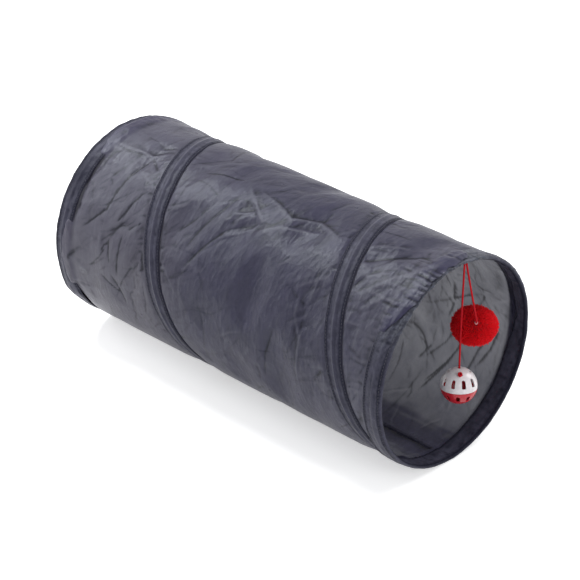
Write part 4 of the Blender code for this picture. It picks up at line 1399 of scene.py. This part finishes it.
def resample(values, places, axis, wrap):
    """Reads a grid at fractional places along one axis."""
    count = values.shape[axis]
    base = np.floor(places).astype(int)
    shape = [1] * values.ndim
    shape[axis] = len(places)
    total = 0
    for step, weight in enumerate(cubic_weights(places - base)):
        index = base + step - 1
        index = index % count if wrap else np.clip(index, 0, count - 1)
        total = total + np.take(values, index, axis=axis) * weight.reshape(shape)
    return total


FACET_CELLS = 128  # each way, after which the facets come again


def facets(u, v, cell, stretch, turn, seed):
    """Flat facets that meet in sharp folds, as in crumpled cloth. Heights are from -1 to 1."""
    p = (u * math.cos(turn) + v * math.sin(turn)) / (cell * stretch)
    q = (v * math.cos(turn) - u * math.sin(turn)) / cell
    p, q = (
        p + 0.8 * smooth_noise(p * 0.9 + 70, q * 0.9 + 30, seed + 100),
        q + 0.8 * smooth_noise(p * 0.9 + 30, q * 0.9 + 70, seed + 200),
    )
    generator = np.random.default_rng(seed)
    heights = generator.uniform(-1, 1, (FACET_CELLS, FACET_CELLS))
    flipped = generator.uniform(0, 1, (FACET_CELLS, FACET_CELLS)) > 0.5
    i = np.floor(p).astype(int)
    j = np.floor(q).astype(int)
    a = p - i
    b = q - j
    here, right, up, far = corners(heights, i, j)
    lower = here + a * (right - here) + b * (up - here)
    upper = far + (1 - a) * (up - far) + (1 - b) * (right - far)
    one_way = np.where(a + b < 1, lower, upper)
    right_half = here + a * (right - here) + b * (far - right)
    left_half = here + b * (up - here) + a * (far - up)
    other_way = np.where(a > b, right_half, left_half)
    return np.where(flipped[i % FACET_CELLS, j % FACET_CELLS], one_way, other_way)


CREASE_ROUNDING = 0.9 * MM


def crease(u, v, line, width, lean):
    """One fold along a line of places: a sharp ridge with a steep and an easy flank."""
    lengths = [math.dist(start, end) for start, end in zip(line, line[1:])]
    nearest = np.full(u.shape, 1e9)
    aside = np.zeros(u.shape)
    along = np.zeros(u.shape)
    passed = 0
    for start, end, length in zip(line, line[1:], lengths):
        du = (end[0] - start[0]) / length
        dv = (end[1] - start[1]) / length
        forward = (u - start[0]) * du + (v - start[1]) * dv
        sideways = (v - start[1]) * du - (u - start[0]) * dv
        beyond = forward - np.clip(forward, 0, length)
        distance = np.hypot(beyond, sideways)
        closer = distance < nearest
        nearest = np.where(closer, distance, nearest)
        side = np.where(sideways > 0, 1, -1)
        aside = np.where(closer, distance * side, aside)
        along = np.where(closer, passed + forward, along)
        passed += length
    share = along / passed
    fade = smooth_step(share, -0.04, 0.25) * smooth_step(1 - share, -0.04, 0.25)
    flank = np.where(aside > 0, width * (1 + lean), width * (1 - lean))
    rounded = np.hypot(aside, CREASE_ROUNDING) - CREASE_ROUNDING
    return fade * np.exp(-rounded / flank)


CREASE_COUNT = 340
CREASE_HEIGHT = 0.75 * MM
CREASE_TURNS = (0.5, 0.75)  # their mean and spread, in radians
CREASE_LENGTHS = (15, 80)  # in millimetres
CREASE_WIDTHS = (1.2, 4.0)  # in millimetres
CREASE_LEAN = 0.6
CREASE_BEND = 0.06  # of its length
CREASE_FADE = 6  # widths away from a crease, beyond which it adds nothing
# Layers of facets: height, size of a facet, stretch, turn, seed, and how strongly their height
# follows the crumpled patches
FACET_LAYERS = (
    (1.9 * MM, 30 * MM, 1.8, 0.5, 21, 1),
    (0.7 * MM, 13 * MM, 1.9, 0.8, 22, 1),
    (0.16 * MM, 6 * MM, 1.6, 0.6, 23, 1.5),
)
SKIN_ROUND = 2 * math.pi * SKIN_RADIUS
# The photograph's long folds: height and width in millimetres, lean, then places along the fold,
# each its x in millimetres and its angle in degrees
LONG_CREASES = (
    (1.2, 3, 0.3, ((-116, 168), (-64, 190))),
    (-0.9, 2, 0.0, ((-96, 167), (-45, 174))),
    (1.5, 3, 0.4, ((-35, 171), (5, 157), (23, 151))),
    (2.2, 4, 0.6, ((-17, 170), (18, 166), (46, 161), (76, 168), (125, 160))),
    (1.4, 3, 0.4, ((-23, 149), (3, 156))),
    (1.3, 3, 0.4, ((-15, 146), (4, 155))),
    (2.0, 6, 0.5, ((19, 144), (41, 153), (68, 158), (94, 161))),
    (-1.2, 3, 0.2, ((-29, 161), (-57, 120))),
    (-1.1, 3, -0.2, ((-11, 144), (-48, 113))),
    (0.8, 4, 0.2, ((103, 127), (138, 141))),
    (-1.9, 5, 0.3, ((150, 153), (185, 165), (217, 180))),
    (1.6, 3, 0.3, ((190, 144), (212, 158), (224, 174))),
    (1.4, 3, 0.2, ((190, 131), (211, 143))),
    (1.2, 3, 0.2, ((137, 162), (194, 177))),
    (-1.8, 3, 0.4, ((-169, 163), (-181, 123), (-213, 107))),
    (1.2, 4, 0.3, ((-180, 154), (-188, 133))),
    (-1.2, 2.5, 0.3, ((-141, 141), (-162, 117))),
    (-1.0, 2.5, 0.2, ((-124, 125), (-143, 117))),
    (-1.0, 2, 0.2, ((-171, 162), (-146, 154))),
    (1.6, 3, 0.3, ((-225, 160), (-172, 163), (-154, 169))),
    (1.0, 3, 0.2, ((-181, 110), (-177, 95))),
    (-1.0, 3, 0.2, ((-167, 109), (-159, 94))),
    (-1.0, 3, 0.2, ((-147, 116), (-148, 88))),
    (1.0, 4, 0.2, ((-222, 88), (-201, 81))),
    (-1.0, 3, 0.2, ((-159, 90), (-135, 70))),
    (-1.6, 3, 0.3, ((173, 293), (163, 306), (147, 325))),
    (-1.1, 3, 0.3, ((166, 304), (160, 313), (148, 330))),
    (-1.4, 3.5, 0.3, ((214, 279), (209, 293), (197, 306))),
    (1.5, 4, 0.3, ((218, 237), (218, 259))),
    (-1.2, 3.5, 0.3, ((204, 283), (194, 296), (190, 311), (178, 323))),
    (-0.9, 3, 0.2, ((158, 288), (149, 299), (131, 312))),
    (-0.8, 2.6, -0.2, ((195, 262), (186, 270), (170, 281))),
    (-0.9, 2.6, 0.2, ((150, 262), (149, 275), (142, 287))),
    (-1.0, 3, 0.2, ((135, 302), (124, 314))),
)
# Patches that are more crumpled than the rest: x, angle in degrees, and half sizes of both
CRUMPLED_PATCHES = (
    (0, 158, 45, 14),
    (-80, 120, 60, 25),
    (-180, 140, 50, 30),
    (185, 150, 45, 25),
    (150, 290, 60, 40),
    (20, 250, 90, 40),
)
SMOOTH_PATCHES = ((60, 100, 55, 30), (90, 145, 35, 9), (-60, 150, 30, 12), (-190, 100, 30, 18))


def crumple_share(x, angle):
    """How crumpled the cloth is, from place to place."""
    patches = smooth_noise(x / (60 * MM) + 20, angle * 1.9, 3, wrap=12)
    share = 0.62 + 0.35 * patches
    for patches, weight in ((CRUMPLED_PATCHES, 0.6), (SMOOTH_PATCHES, -0.5)):
        for middle, degrees, half_x, half_degrees in patches:
            turn = np.degrees(angle) - degrees
            spot = hump(x - middle * MM, half_x * MM) * hump(turn, half_degrees)
            share = share + weight * spot
    under = smooth_step(np.abs(np.degrees(angle) - 180), 105, 150)
    return np.clip(share, 0.15, 1.4) * (1 - 0.6 * under)


def add_small_creases(height, u, v):
    generator = np.random.default_rng(SEED + 1)
    for _ in range(CREASE_COUNT):
        start = np.array([generator.uniform(0, SKIN_ROUND), generator.uniform(-1, 1) * HEM_HELD])
        turn = generator.normal(*CREASE_TURNS)
        length = generator.uniform(*CREASE_LENGTHS) * MM
        end = start + length * np.array([math.cos(turn), math.sin(turn)])
        middle = (start + end) / 2 + generator.normal(0, CREASE_BEND, 2) * length
        size = generator.uniform(0.2, 1) ** 1.5 * generator.choice([-1, 1])
        width = generator.uniform(*CREASE_WIDTHS) * MM
        lean = generator.uniform(-CREASE_LEAN, CREASE_LEAN)
        low = np.minimum(start, end) - CREASE_FADE * width
        high = np.maximum(start, end) + CREASE_FADE * width
        near = (u > low[0]) & (u < high[0]) & (v > low[1]) & (v < high[1])
        if near.any():
            line = (start, middle, end)
            height[near] += size * CREASE_HEIGHT * crease(u[near], v[near], line, width, lean)


def crease_height(x, angle):
    """How far the folds stand out from the settled cloth."""
    u = angle * SKIN_RADIUS
    v = x
    share = crumple_share(x, angle)
    height = np.zeros(x.shape)
    for size, cell, stretch, turn, seed, power in FACET_LAYERS:
        height += size * facets(u, v, cell, stretch, turn, seed) * share**power
    add_small_creases(height, u, v)
    for size, width, lean, places in LONG_CREASES:
        line = [(math.radians(degrees) * SKIN_RADIUS, place * MM) for place, degrees in places]
        height += size * MM * crease(u, v, line, width * MM, lean)
    return height


CASING_SLOPE = math.atan2(HELIX_LEAD, SKIN_ROUND)
GATHER_HEIGHT = 0.62 * MM
GATHER_REACH = 14 * MM


def gather_height(x, angle):
    """Small puckers that run out from the stitches of the hems and the casing."""
    u = angle * SKIN_RADIUS
    lengthways = u * math.cos(CASING_SLOPE) - x * math.sin(CASING_SLOPE)
    crossways = u * math.sin(CASING_SLOPE) + x * math.cos(CASING_SLOPE)
    beside = np.abs(beside_helix(x, angle)) - CASING_WIDTH / 2
    total = 0
    for away, along, across, seed in (
        (beside, lengthways, crossways, 8),
        (HEM_EDGE - np.abs(x), u, x, 18),
    ):
        ripple = gathers(along, across, 4.2 * MM, seed)
        ripple = ripple + 0.9 * gathers(along, across, 9.5 * MM, seed + 4)
        reach = GATHER_REACH * (1 + 0.7 * smooth_noise(along / (7 * MM), 0 * along + 50, seed + 7))
        shown = np.exp(-np.maximum(away, 0) / reach) * smooth_step(away, -1 * MM, 5 * MM)
        total = total + ripple * shown
    return GATHER_HEIGHT * total * (0.35 + 0.75 * upper_share(angle))


# Where loose cloth hangs over a hem: degrees where it rises and falls, and how far it goes
FAR_OVERHANGS = ((143, 167, 222, 240, 11.5 * MM), (56, 82, 96, 119, 8 * MM))
NEAR_OVERHANGS = ((119, 148, 182, 200, 18 * MM),)
OVERHANG_REACH = 24 * MM
OVERHANG_LIFT = 0.9 * MM
BUNCH_LIFT = 0.6 * MM
BACKED_SHARE = 0.5  # how much of the light from inside a hem keeps from the cloth over it
TUCK_SHARE = 1.4  # how much further the skin runs than the near hem's inner edge stops short
BUNCH_HEIGHT = 0.6 * MM
BUNCH_PITCH = 3.4 * MM
BUNCH_REACH = 32 * MM
CASING_EDGE = CASING_WIDTH / 2
CASING_GRIP = (CASING_EDGE - 3 * MM, CASING_EDGE + 7 * MM)  # over which the cloth comes free
HEM_GRIP = 8 * MM
SEAM_GRIP = 14 * MM
SEAM_FREE = 0.25  # how free the cloth is at the seam itself
SEAM_FLAT = 5 * MM
TAUT_FOLDS = 0.35  # the share of the folds that tight cloth doesn't smooth out
OUTERMOST_GIVE = 0.8  # of what reaches beyond the outermost place, which is taken off


def overhang(angle, spans):
    degrees = np.degrees(angle) + 2.5 * round_noise(angle, 6 * MM, 70, 95)
    total = 0
    for start, full, falling, end, size in spans:
        rise = smooth_step(degrees, start, full)
        total = total + size * rise * (1 - smooth_step(degrees, falling, end))
    return total * (1 + 0.12 * round_noise(angle, 8 * MM, 80, 96))


GROUNDED = (math.radians(11), math.radians(20))  # from where light comes up through the cloth
FAR_LIGHT_SPAN = (10 * MM, 115 * MM)  # over which light is painted in, towards the far mouth
FAR_LIGHT_SHARE = 0.85
GROUNDED_SHARE = 0.65  # of that light, which the floor keeps away


def settled_cloth(line, turn):
    """How far the cloth goes in the simulation at the fine grid's places."""
    rows = round(2 * SKIN_END / CLOTH_STEP) + 1
    columns = round(SKIN_ROUND / CLOTH_STEP)
    shifts = simulate_skin(rows, columns)
    shifts = resample(shifts, (line + SKIN_END) / (2 * SKIN_END) * (rows - 1), 1, False)
    return resample(shifts, turn / (2 * math.pi) * columns, 2, True)


def shade_skin(skin, x, angle, folds, shown):
    """What the skin's material reads at each point."""
    from_bottom = np.abs((angle + math.pi) % (2 * math.pi) - math.pi)
    ragged = math.radians(4) * smooth_noise(x / (31 * MM) + 40, from_bottom * 30, 97)
    ragged = ragged + math.radians(3) * smooth_noise(x / (10 * MM) + 40, from_bottom * 18, 98)
    grounded = 1 - smooth_step(from_bottom + ragged, *GROUNDED)
    store(skin, "backed", np.maximum(GROUNDED_SHARE * grounded, BACKED_SHARE * shown))
    # Painted light: paler towards the far mouth, and less so towards the top
    patches = smooth_noise(x / (40 * MM) + 60, angle * 3, 99)
    stretched = smooth_step(-x, *FAR_LIGHT_SPAN) * (1 + 0.3 * patches)
    upper = smooth_step(-np.cos(angle), 0.2, 0.9)
    store(skin, "painted_far_light", FAR_LIGHT_SHARE * stretched * (1 - 0.65 * upper))
    # Painted shade in the folds
    store(skin, "fold", fold_shade(folds))
    # A painted highlight on the ridges
    store(skin, "ridge", RIDGE_HIGHLIGHT_SHARE * fold_shade(-folds))


def skin_surface(x, angle, shifts):
    """How far along, out and round each point lies, and how far its folds stand out."""
    to_helix = np.abs(beside_helix(x, angle))
    to_seam = np.minimum(angle, 2 * math.pi - angle) * SKIN_RADIUS
    flat_seam = smooth_step(to_seam, 0, SEAM_FLAT)
    free = smooth_step(to_helix, *CASING_GRIP) * smooth_step(HEM_EDGE - np.abs(x), 0, HEM_GRIP)
    free = free * (SEAM_FREE + (1 - SEAM_FREE) * smooth_step(to_seam, 0, SEAM_GRIP))
    folds = crease_height(x, angle) * free * flat_seam
    folds = folds * (TAUT_FOLDS + (1 - TAUT_FOLDS) * taut_share(angle))
    folds = folds + gather_height(x, angle) * flat_seam
    radius = skin_rest_radius(x, angle) + (shifts[1] + SKIN_BULGE) * free + folds
    radius = radius - OUTERMOST_GIVE * np.maximum(radius - SKIN_OUTERMOST, 0)
    between = smooth_step(to_helix, CASING_EDGE, CASING_EDGE + TAUT_RISE)
    radius = radius + TAUT_BULGE * tautness(angle) * free * between
    along = x + shifts[0] * free
    round_by = angle + shifts[2] * free / SKIN_RADIUS
    return along, radius, round_by, folds


def laid_over_hems(x, angle, along, radius, folds):
    """Lays loose cloth over the hems. Also gives where that shows, and the folds with bunches."""
    full_over = np.where(x < 0, overhang(angle, FAR_OVERHANGS), overhang(angle, NEAR_OVERHANGS))
    last = (SKIN_END - OVERHANG_REACH, SKIN_END)
    over = full_over * smooth_step(np.abs(x), *last)
    tucked = TUCK_SHARE * inner_edge(angle, 1) * smooth_step(x, *last)
    along = along + np.sign(x) * over + tucked
    hem_x = np.maximum(np.abs(along), HEM_EDGE)
    near_hem = hem_radius(hem_x, angle, 1) + BUNCH_LIFT
    on_hem = np.where(x < 0, hem_radius(hem_x, angle, -1), near_hem)
    edge = np.exp(-np.abs(SKIN_END + full_over - np.abs(along)) / (0.7 * MM))
    shown = smooth_step(over, 0.5 * MM, 4 * MM)
    shown = shown * smooth_step(np.abs(along), HEM_EDGE - 3 * MM, HEM_EDGE)
    over_hem = on_hem + OVERHANG_LIFT + 0.4 * folds - 0.5 * MM * edge
    radius = radius + (over_hem - radius) * shown
    bunched = gathers(angle * SKIN_RADIUS, along, BUNCH_PITCH, 101) * gathered_share(angle)
    bunched = BUNCH_HEIGHT * bunched * smooth_step(along, HEM_EDGE - BUNCH_REACH, HEM_EDGE)
    return along, radius + bunched, shown, folds + bunched


def make_skin():
    rows = round(2 * SKIN_END / FINE_STEP) + 1
    columns = round(SKIN_ROUND / FINE_STEP) + 1
    line = np.linspace(-SKIN_END, SKIN_END, rows)
    turn = np.linspace(0, 2 * math.pi, columns)
    x, angle = np.meshgrid(line, turn, indexing="ij")
    along, radius, round_by, folds = skin_surface(x, angle, settled_cloth(line, turn))
    along, radius, shown, folds = laid_over_hems(x, angle, along, radius, folds)
    points = on_tube(along, radius, round_by).reshape(-1, 3)
    uvs = np.stack([angle * SKIN_RADIUS, along], -1).reshape(-1, 2)
    skin = mesh_from_arrays("taffeta_skin", points, grid_faces(rows, columns), uvs)
    shade_skin(skin, x, angle, folds, shown)
    dress(skin, SKIN_CLOTH)
    flatten_with_tunnel(skin)
    stand_for(skin, "skin")


make_skin()


# Stitches

STITCH_PITCH = 3.4 * MM
STITCH_LENGTH = 2.5 * MM
STITCH_RADIUS = 0.24 * MM
STITCH_SIDES = 6
STITCH_SHARES = (0.0, 0.12, 0.5, 0.88, 1.0)  # along a stitch
STITCH_RISE_SHARES = (-0.8, 0.45, 0.8, 0.45, -0.8)  # of the thread's radius
STITCH_THICKNESS_SHARES = (0.6, 1.0, 1.0, 1.0, 0.6)


def stitch_arrays(starts, ends):
    """Short bent lengths of thread between pairs of places on the tube."""
    middles = (starts + ends) / 2
    out = middles - np.array([0, 0, AXIS_HEIGHT])
    out[:, 0] = 0
    out /= np.linalg.norm(out, axis=1)[:, None]
    along = ends - starts
    along /= np.linalg.norm(along, axis=1)[:, None]
    aside = np.cross(along, out)
    ring = circles(aside, out, STITCH_SIDES)
    rings = []
    for share, rise, thickness in zip(STITCH_SHARES, STITCH_RISE_SHARES, STITCH_THICKNESS_SHARES):
        centre = starts + (ends - starts) * share + out * rise * STITCH_RADIUS
        rings.append(centre[:, None] + ring * STITCH_RADIUS * thickness)
    points = np.stack(rings, 1).reshape(-1, 3)
    one = grid_faces(len(STITCH_SHARES), STITCH_SIDES, wrap_columns=True)
    size = len(STITCH_SHARES) * STITCH_SIDES
    faces = (one[None] + np.arange(len(starts))[:, None, None] * size).reshape(-1, 4)
    return points, faces


def make_stitches(name, rows):
    """Rows of stitches. A row is its places on the tube, one more than its stitches."""
    points = []
    faces = []
    count = 0
    for row in rows:
        starts = row[:-1]
        ends = starts + (row[1:] - starts) * (STITCH_LENGTH / STITCH_PITCH)
        seen = starts[:, 2] > 0.6 * MM
        row_points, row_faces = stitch_arrays(starts[seen], ends[seen])
        points.append(row_points)
        faces.append(row_faces + count)
        count += len(row_points)
    stitches = mesh_from_arrays(name, np.concatenate(points), np.concatenate(faces))
    dress(stitches, THREAD)
    return stitches


# The casing of the helix wire

CASING_STEP = math.radians(1.0)
CASING_FLAT = 117.9 * MM
CASING_RIDGE = 1.35 * MM
CASING_RIDGE_WIDTH = 2.3 * MM
CASING_EDGE_DROP = 0.55 * MM
CASING_UNDER = 116.75 * MM
CASING_STITCH_INSET = 2.2 * MM
CASING_COLUMNS = 30


def casing_radius(offset, angle):
    """The strip's outer face: a ridge over the wire, and hollows at the stitches."""
    edge = CASING_WIDTH / 2 - np.abs(offset)
    drop = CASING_EDGE_DROP * np.exp(-edge / (1.0 * MM))
    hollow = 0.3 * MM * hump(edge - CASING_STITCH_INSET, 1.1 * MM)
    puckers = 0.3 * MM * ripples(angle, offset, 61) * smooth_step(np.abs(offset), 1.5 * MM, 5 * MM)
    ridge = CASING_RIDGE * hump(offset, CASING_RIDGE_WIDTH)
    taut = tautness(angle)
    flat = CASING_FLAT - 0.4 * MM * taut
    return flat + ridge * (1 - 0.35 * taut) - drop - hollow + puckers * (1 - 0.5 * taut)


def casing_x(offset, angle):
    wobble = 0.5 * MM * smooth_noise(angle * SKIN_RADIUS / (16 * MM), np.sign(offset) + 30, 64)
    edge = smooth_step(np.abs(offset), 2 * MM, CASING_WIDTH / 2)
    place = helix_x(angle) + offset + wobble * edge
    return np.clip(place, -CASING_TUCK, CASING_TUCK)


def casing_place(offset, angle):
    return on_tube(casing_x(offset, angle), casing_radius(offset, angle), angle)


def make_casing():
    angle = np.arange(CASING_FIRST, CASING_LAST, CASING_STEP)
    half = CASING_WIDTH / 2
    share = np.linspace(-1, 1, CASING_COLUMNS)
    offset = half * (0.55 * share + 0.45 * share**3)
    offset, around = np.meshgrid(offset, angle)
    top = casing_place(offset, around)
    under_offset = np.array([half, 0, -half]) * 0.985
    under_offset, under_around = np.meshgrid(under_offset, angle)
    under = on_tube(casing_x(under_offset, under_around), CASING_UNDER, under_around)
    points = np.concatenate([top, under], 1)
    rows, columns = points.shape[:2]
    u = np.concatenate([offset, under_offset], 1) + STRIP_MAP_START
    uvs = np.stack([around[:, :1] * SKIN_RADIUS + 0 * u, u], -1).reshape(-1, 2)
    faces = capped_faces(rows, columns)
    casing = mesh_from_arrays("helix_casing_strip", points.reshape(-1, 3), faces, uvs)
    # Painted shade in the casing's folds
    shade = fold_shade(casing_radius(offset, around))
    store(casing, "fold", np.concatenate([shade, 0 * under_offset], 1))
    dress(casing, CASING_CLOTH)
    flatten_with_tunnel(casing)
    stand_for(casing, "helix_casing")
    rows = []
    stitch_angle = np.arange(CASING_FIRST, CASING_LAST, STITCH_PITCH / SKIN_RADIUS)
    for side in (-1, 1):
        line = side * (half - CASING_STITCH_INSET)
        row = casing_place(np.full(len(stitch_angle), line), stitch_angle)
        rows.append(row[np.abs(row[:, 0]) < HEM_EDGE - STITCH_LENGTH])
    flatten_with_tunnel(make_stitches("helix_casing_stitches", rows))


def make_helix_wire():
    angle = np.arange(HELIX_FIRST, HELIX_LAST, math.radians(1.5))
    across = -WIRE_PATH_RADIUS * np.sin(angle)
    height = AXIS_HEIGHT - WIRE_PATH_RADIUS * np.cos(angle)
    path = np.stack([helix_x(angle), across, height], -1)
    points, faces = tube_arrays(path, WIRE_RADIUS, WIRE_SIDES)
    wire = mesh_from_arrays("helix_spring_wire", points, faces)
    dress(wire, WIRE_STEEL)
    flatten_with_tunnel(wire)
    stand_for(wire, "helix_wire")


make_casing()
make_helix_wire()


# The hems

# A hem's cloth: where its outer layer starts and how long it is, and the same for its inner layer
HEM_START = 0.3 * MM
HEM_OUTER_RUN = 21.5 * MM
HEM_INNER_START = 21.8 * MM
HEM_INNER_RUN = 21.3 * MM
HEM_OUTER_POINTS = 24
HEM_BEND_POINTS = 9
HEM_INNER_POINTS = 16
MOUTH_INSET = 0.35 * MM


def hem_mouth_x(angle, side):
    """The mouth's edge wavers a little between the stitches, more at the top."""
    wave = round_noise(angle, 14 * MM, 40.0 + side, 75)
    fine = round_noise(angle, 5.5 * MM, 50.0 + side, 76)
    crumpled_edge = round_noise(angle, 3.4 * MM, 60, 79)
    crumpled_edge = 0.8 * MM * (crumpled_edge - 0.5) * gathered_share(angle) * (side > 0)
    wave = MM * (0.55 * wave + 0.3 * fine) * (0.4 + 0.9 * upper_share(angle) ** 2)
    return HALF_LENGTH - MOUTH_INSET + wave + crumpled_edge


def hem_path(angle, side):
    """The middle of the folded cloth, from its outer edge round the mouth to its inner edge."""
    mouth = hem_mouth_x(angle, side)
    shares = np.linspace(0, 1, HEM_OUTER_POINTS)
    stations = [HEM_EDGE + HEM_START + HEM_OUTER_RUN * share for share in shares]
    path = [(x + 0 * angle, hem_radius(x, angle, side)) for x in stations]
    last_x, last_r = path[-1]
    inner = HEM_INSIDE + 0.25 * MM * ripples(angle, 0 * angle, 81 + side)
    ragged = 1.6 * MM * (1 + round_noise(angle, 17 * MM, 60, 78)) + inner_edge(angle, side)
    for bend in np.linspace(0, math.pi, HEM_BEND_POINTS)[1:-1]:
        reach = (mouth - last_x) * math.sin(bend)
        height = (last_r + inner) / 2 + (last_r - inner) / 2 * math.cos(bend)
        path.append((last_x + reach, height))
    for share in np.linspace(0, 1, HEM_INNER_POINTS):
        x = HEM_EDGE + HEM_INNER_START - (HEM_INNER_RUN - ragged) * share
        pucker = 0.6 * MM * ripples(angle, x, 81 + side)
        hollow = 0.3 * MM * sum(hump(x - row, 1.4 * MM) for row in HEM_STITCHES)
        path.append((x, HEM_INSIDE + hollow + pucker))
    return np.array(path)


# The far hem's stretch between its two overhangs, where shade is painted into its colour
CRESCENT_ANGLE = 134
CRESCENT_SPAN = 15
CRESCENT_SHADE = 0.75


def make_hem(name, node, body, side):
    angle = np.linspace(0, 2 * math.pi, HEM_STATIONS, endpoint=False)
    path = hem_path(angle, side)
    along = np.gradient(path, axis=0)
    length = np.hypot(along[:, 0], along[:, 1])
    normal = np.stack([-along[:, 1], along[:, 0]], 1) / length[:, None]
    outside = path + normal * HEM_THICKNESS / 2
    inside = path - normal * HEM_THICKNESS / 2
    loop = np.concatenate([outside, inside[::-1]])
    points = on_tube(side * loop[:, 0], loop[:, 1], angle[None])
    rows, columns = points.shape[:2]
    across = np.concatenate([[0], np.cumsum(length[1:].mean(1))])
    across = np.concatenate([across, across[::-1]])[:, None] + 0 * angle[None]
    across = across + STRIP_MAP_START
    uvs = np.stack([angle[None] * SKIN_RADIUS + 0 * across, across], -1)
    faces = grid_faces(rows, columns, wrap_rows=True, wrap_columns=True)
    hem = mesh_from_arrays(name, points.reshape(-1, 3), faces, uvs.reshape(-1, 2))
    # Painted shade in the hem's folds, outside and inside
    outer = fold_shade(outside[:, 1])
    # Painted shade on the far hem between its overhangs
    if side < 0:
        dull_and_shaded = CRESCENT_SHADE * hump(np.degrees(angle) - CRESCENT_ANGLE, CRESCENT_SPAN)
        outer = np.maximum(outer, dull_and_shaded)
    store(hem, "fold", np.concatenate([outer, fold_shade(-inside[::-1, 1])]))
    gathered = gathered_share(angle[None] - math.radians(4)) * (side > 0) + 0 * outside[:, 1]
    store(hem, "gathered", np.concatenate([gathered, 0 * gathered]))
    dress(hem, HEM_CLOTH)
    stand_for(hem, node, body)
    rows = []
    stitch_angle = np.arange(0, 2 * math.pi, STITCH_PITCH / HEM_RADIUS)
    for x in HEM_STITCHES:
        radius = hem_radius(x, stitch_angle, side) + HEM_THICKNESS / 2
        rows.append(on_tube(side * x, radius, stitch_angle))
    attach(make_stitches(name + "_stitches", rows), body)


make_hem("near_hem_binding", "near_hem", "near_end", 1)
make_hem("far_hem_binding", "far_hem", "far_end", -1)


# The skin's seam, inside along the bottom

SEAM_WIDTH = 7.5 * MM
SEAM_STATIONS = 420
SEAM_COLUMNS = 8
SEAM_RADIUS = 115.6 * MM


def make_seam():
    """The ragged overlocked allowance, which lies to one side of the seam."""
    x = np.linspace(-HEM_EDGE + 2 * MM, HEM_EDGE - 2 * MM, SEAM_STATIONS)
    ragged = smooth_noise(x / (2.2 * MM), 0 * x + 7, 91)
    ragged = ragged + 0.8 * smooth_noise(x / (9 * MM), 0 * x + 9, 92)
    width = SEAM_WIDTH + 0.9 * MM * ragged
    share = np.linspace(0, 1, SEAM_COLUMNS)
    across = width[:, None] * share[None]
    angle = across / SEAM_RADIUS
    x = x[:, None] + 0 * across
    lift = (0.3 + 1.1 * share[None] ** 1.5) * MM
    lift = lift + 0.5 * MM * share[None] * smooth_noise(x / (7 * MM), across / (4 * MM) + 5, 93)
    top = on_tube(x, SEAM_RADIUS - lift, angle)
    bottom = on_tube(x, SEAM_RADIUS - lift + 0.5 * MM, angle)[:, ::-1]
    points = np.concatenate([top, bottom], 1)
    rows, columns = points.shape[:2]
    uvs = np.stack([x, across + STRIP_MAP_START], -1)
    uvs = np.concatenate([uvs, uvs[:, ::-1]], 1).reshape(-1, 2)
    faces = capped_faces(rows, columns)
    seam = mesh_from_arrays("skin_seam_allowance", points.reshape(-1, 3), faces, uvs)
    dress(seam, SEAM_CLOTH)
    flatten_with_tunnel(seam)


make_seam()


bpy.context.scene.view_settings.view_transform = "Standard"
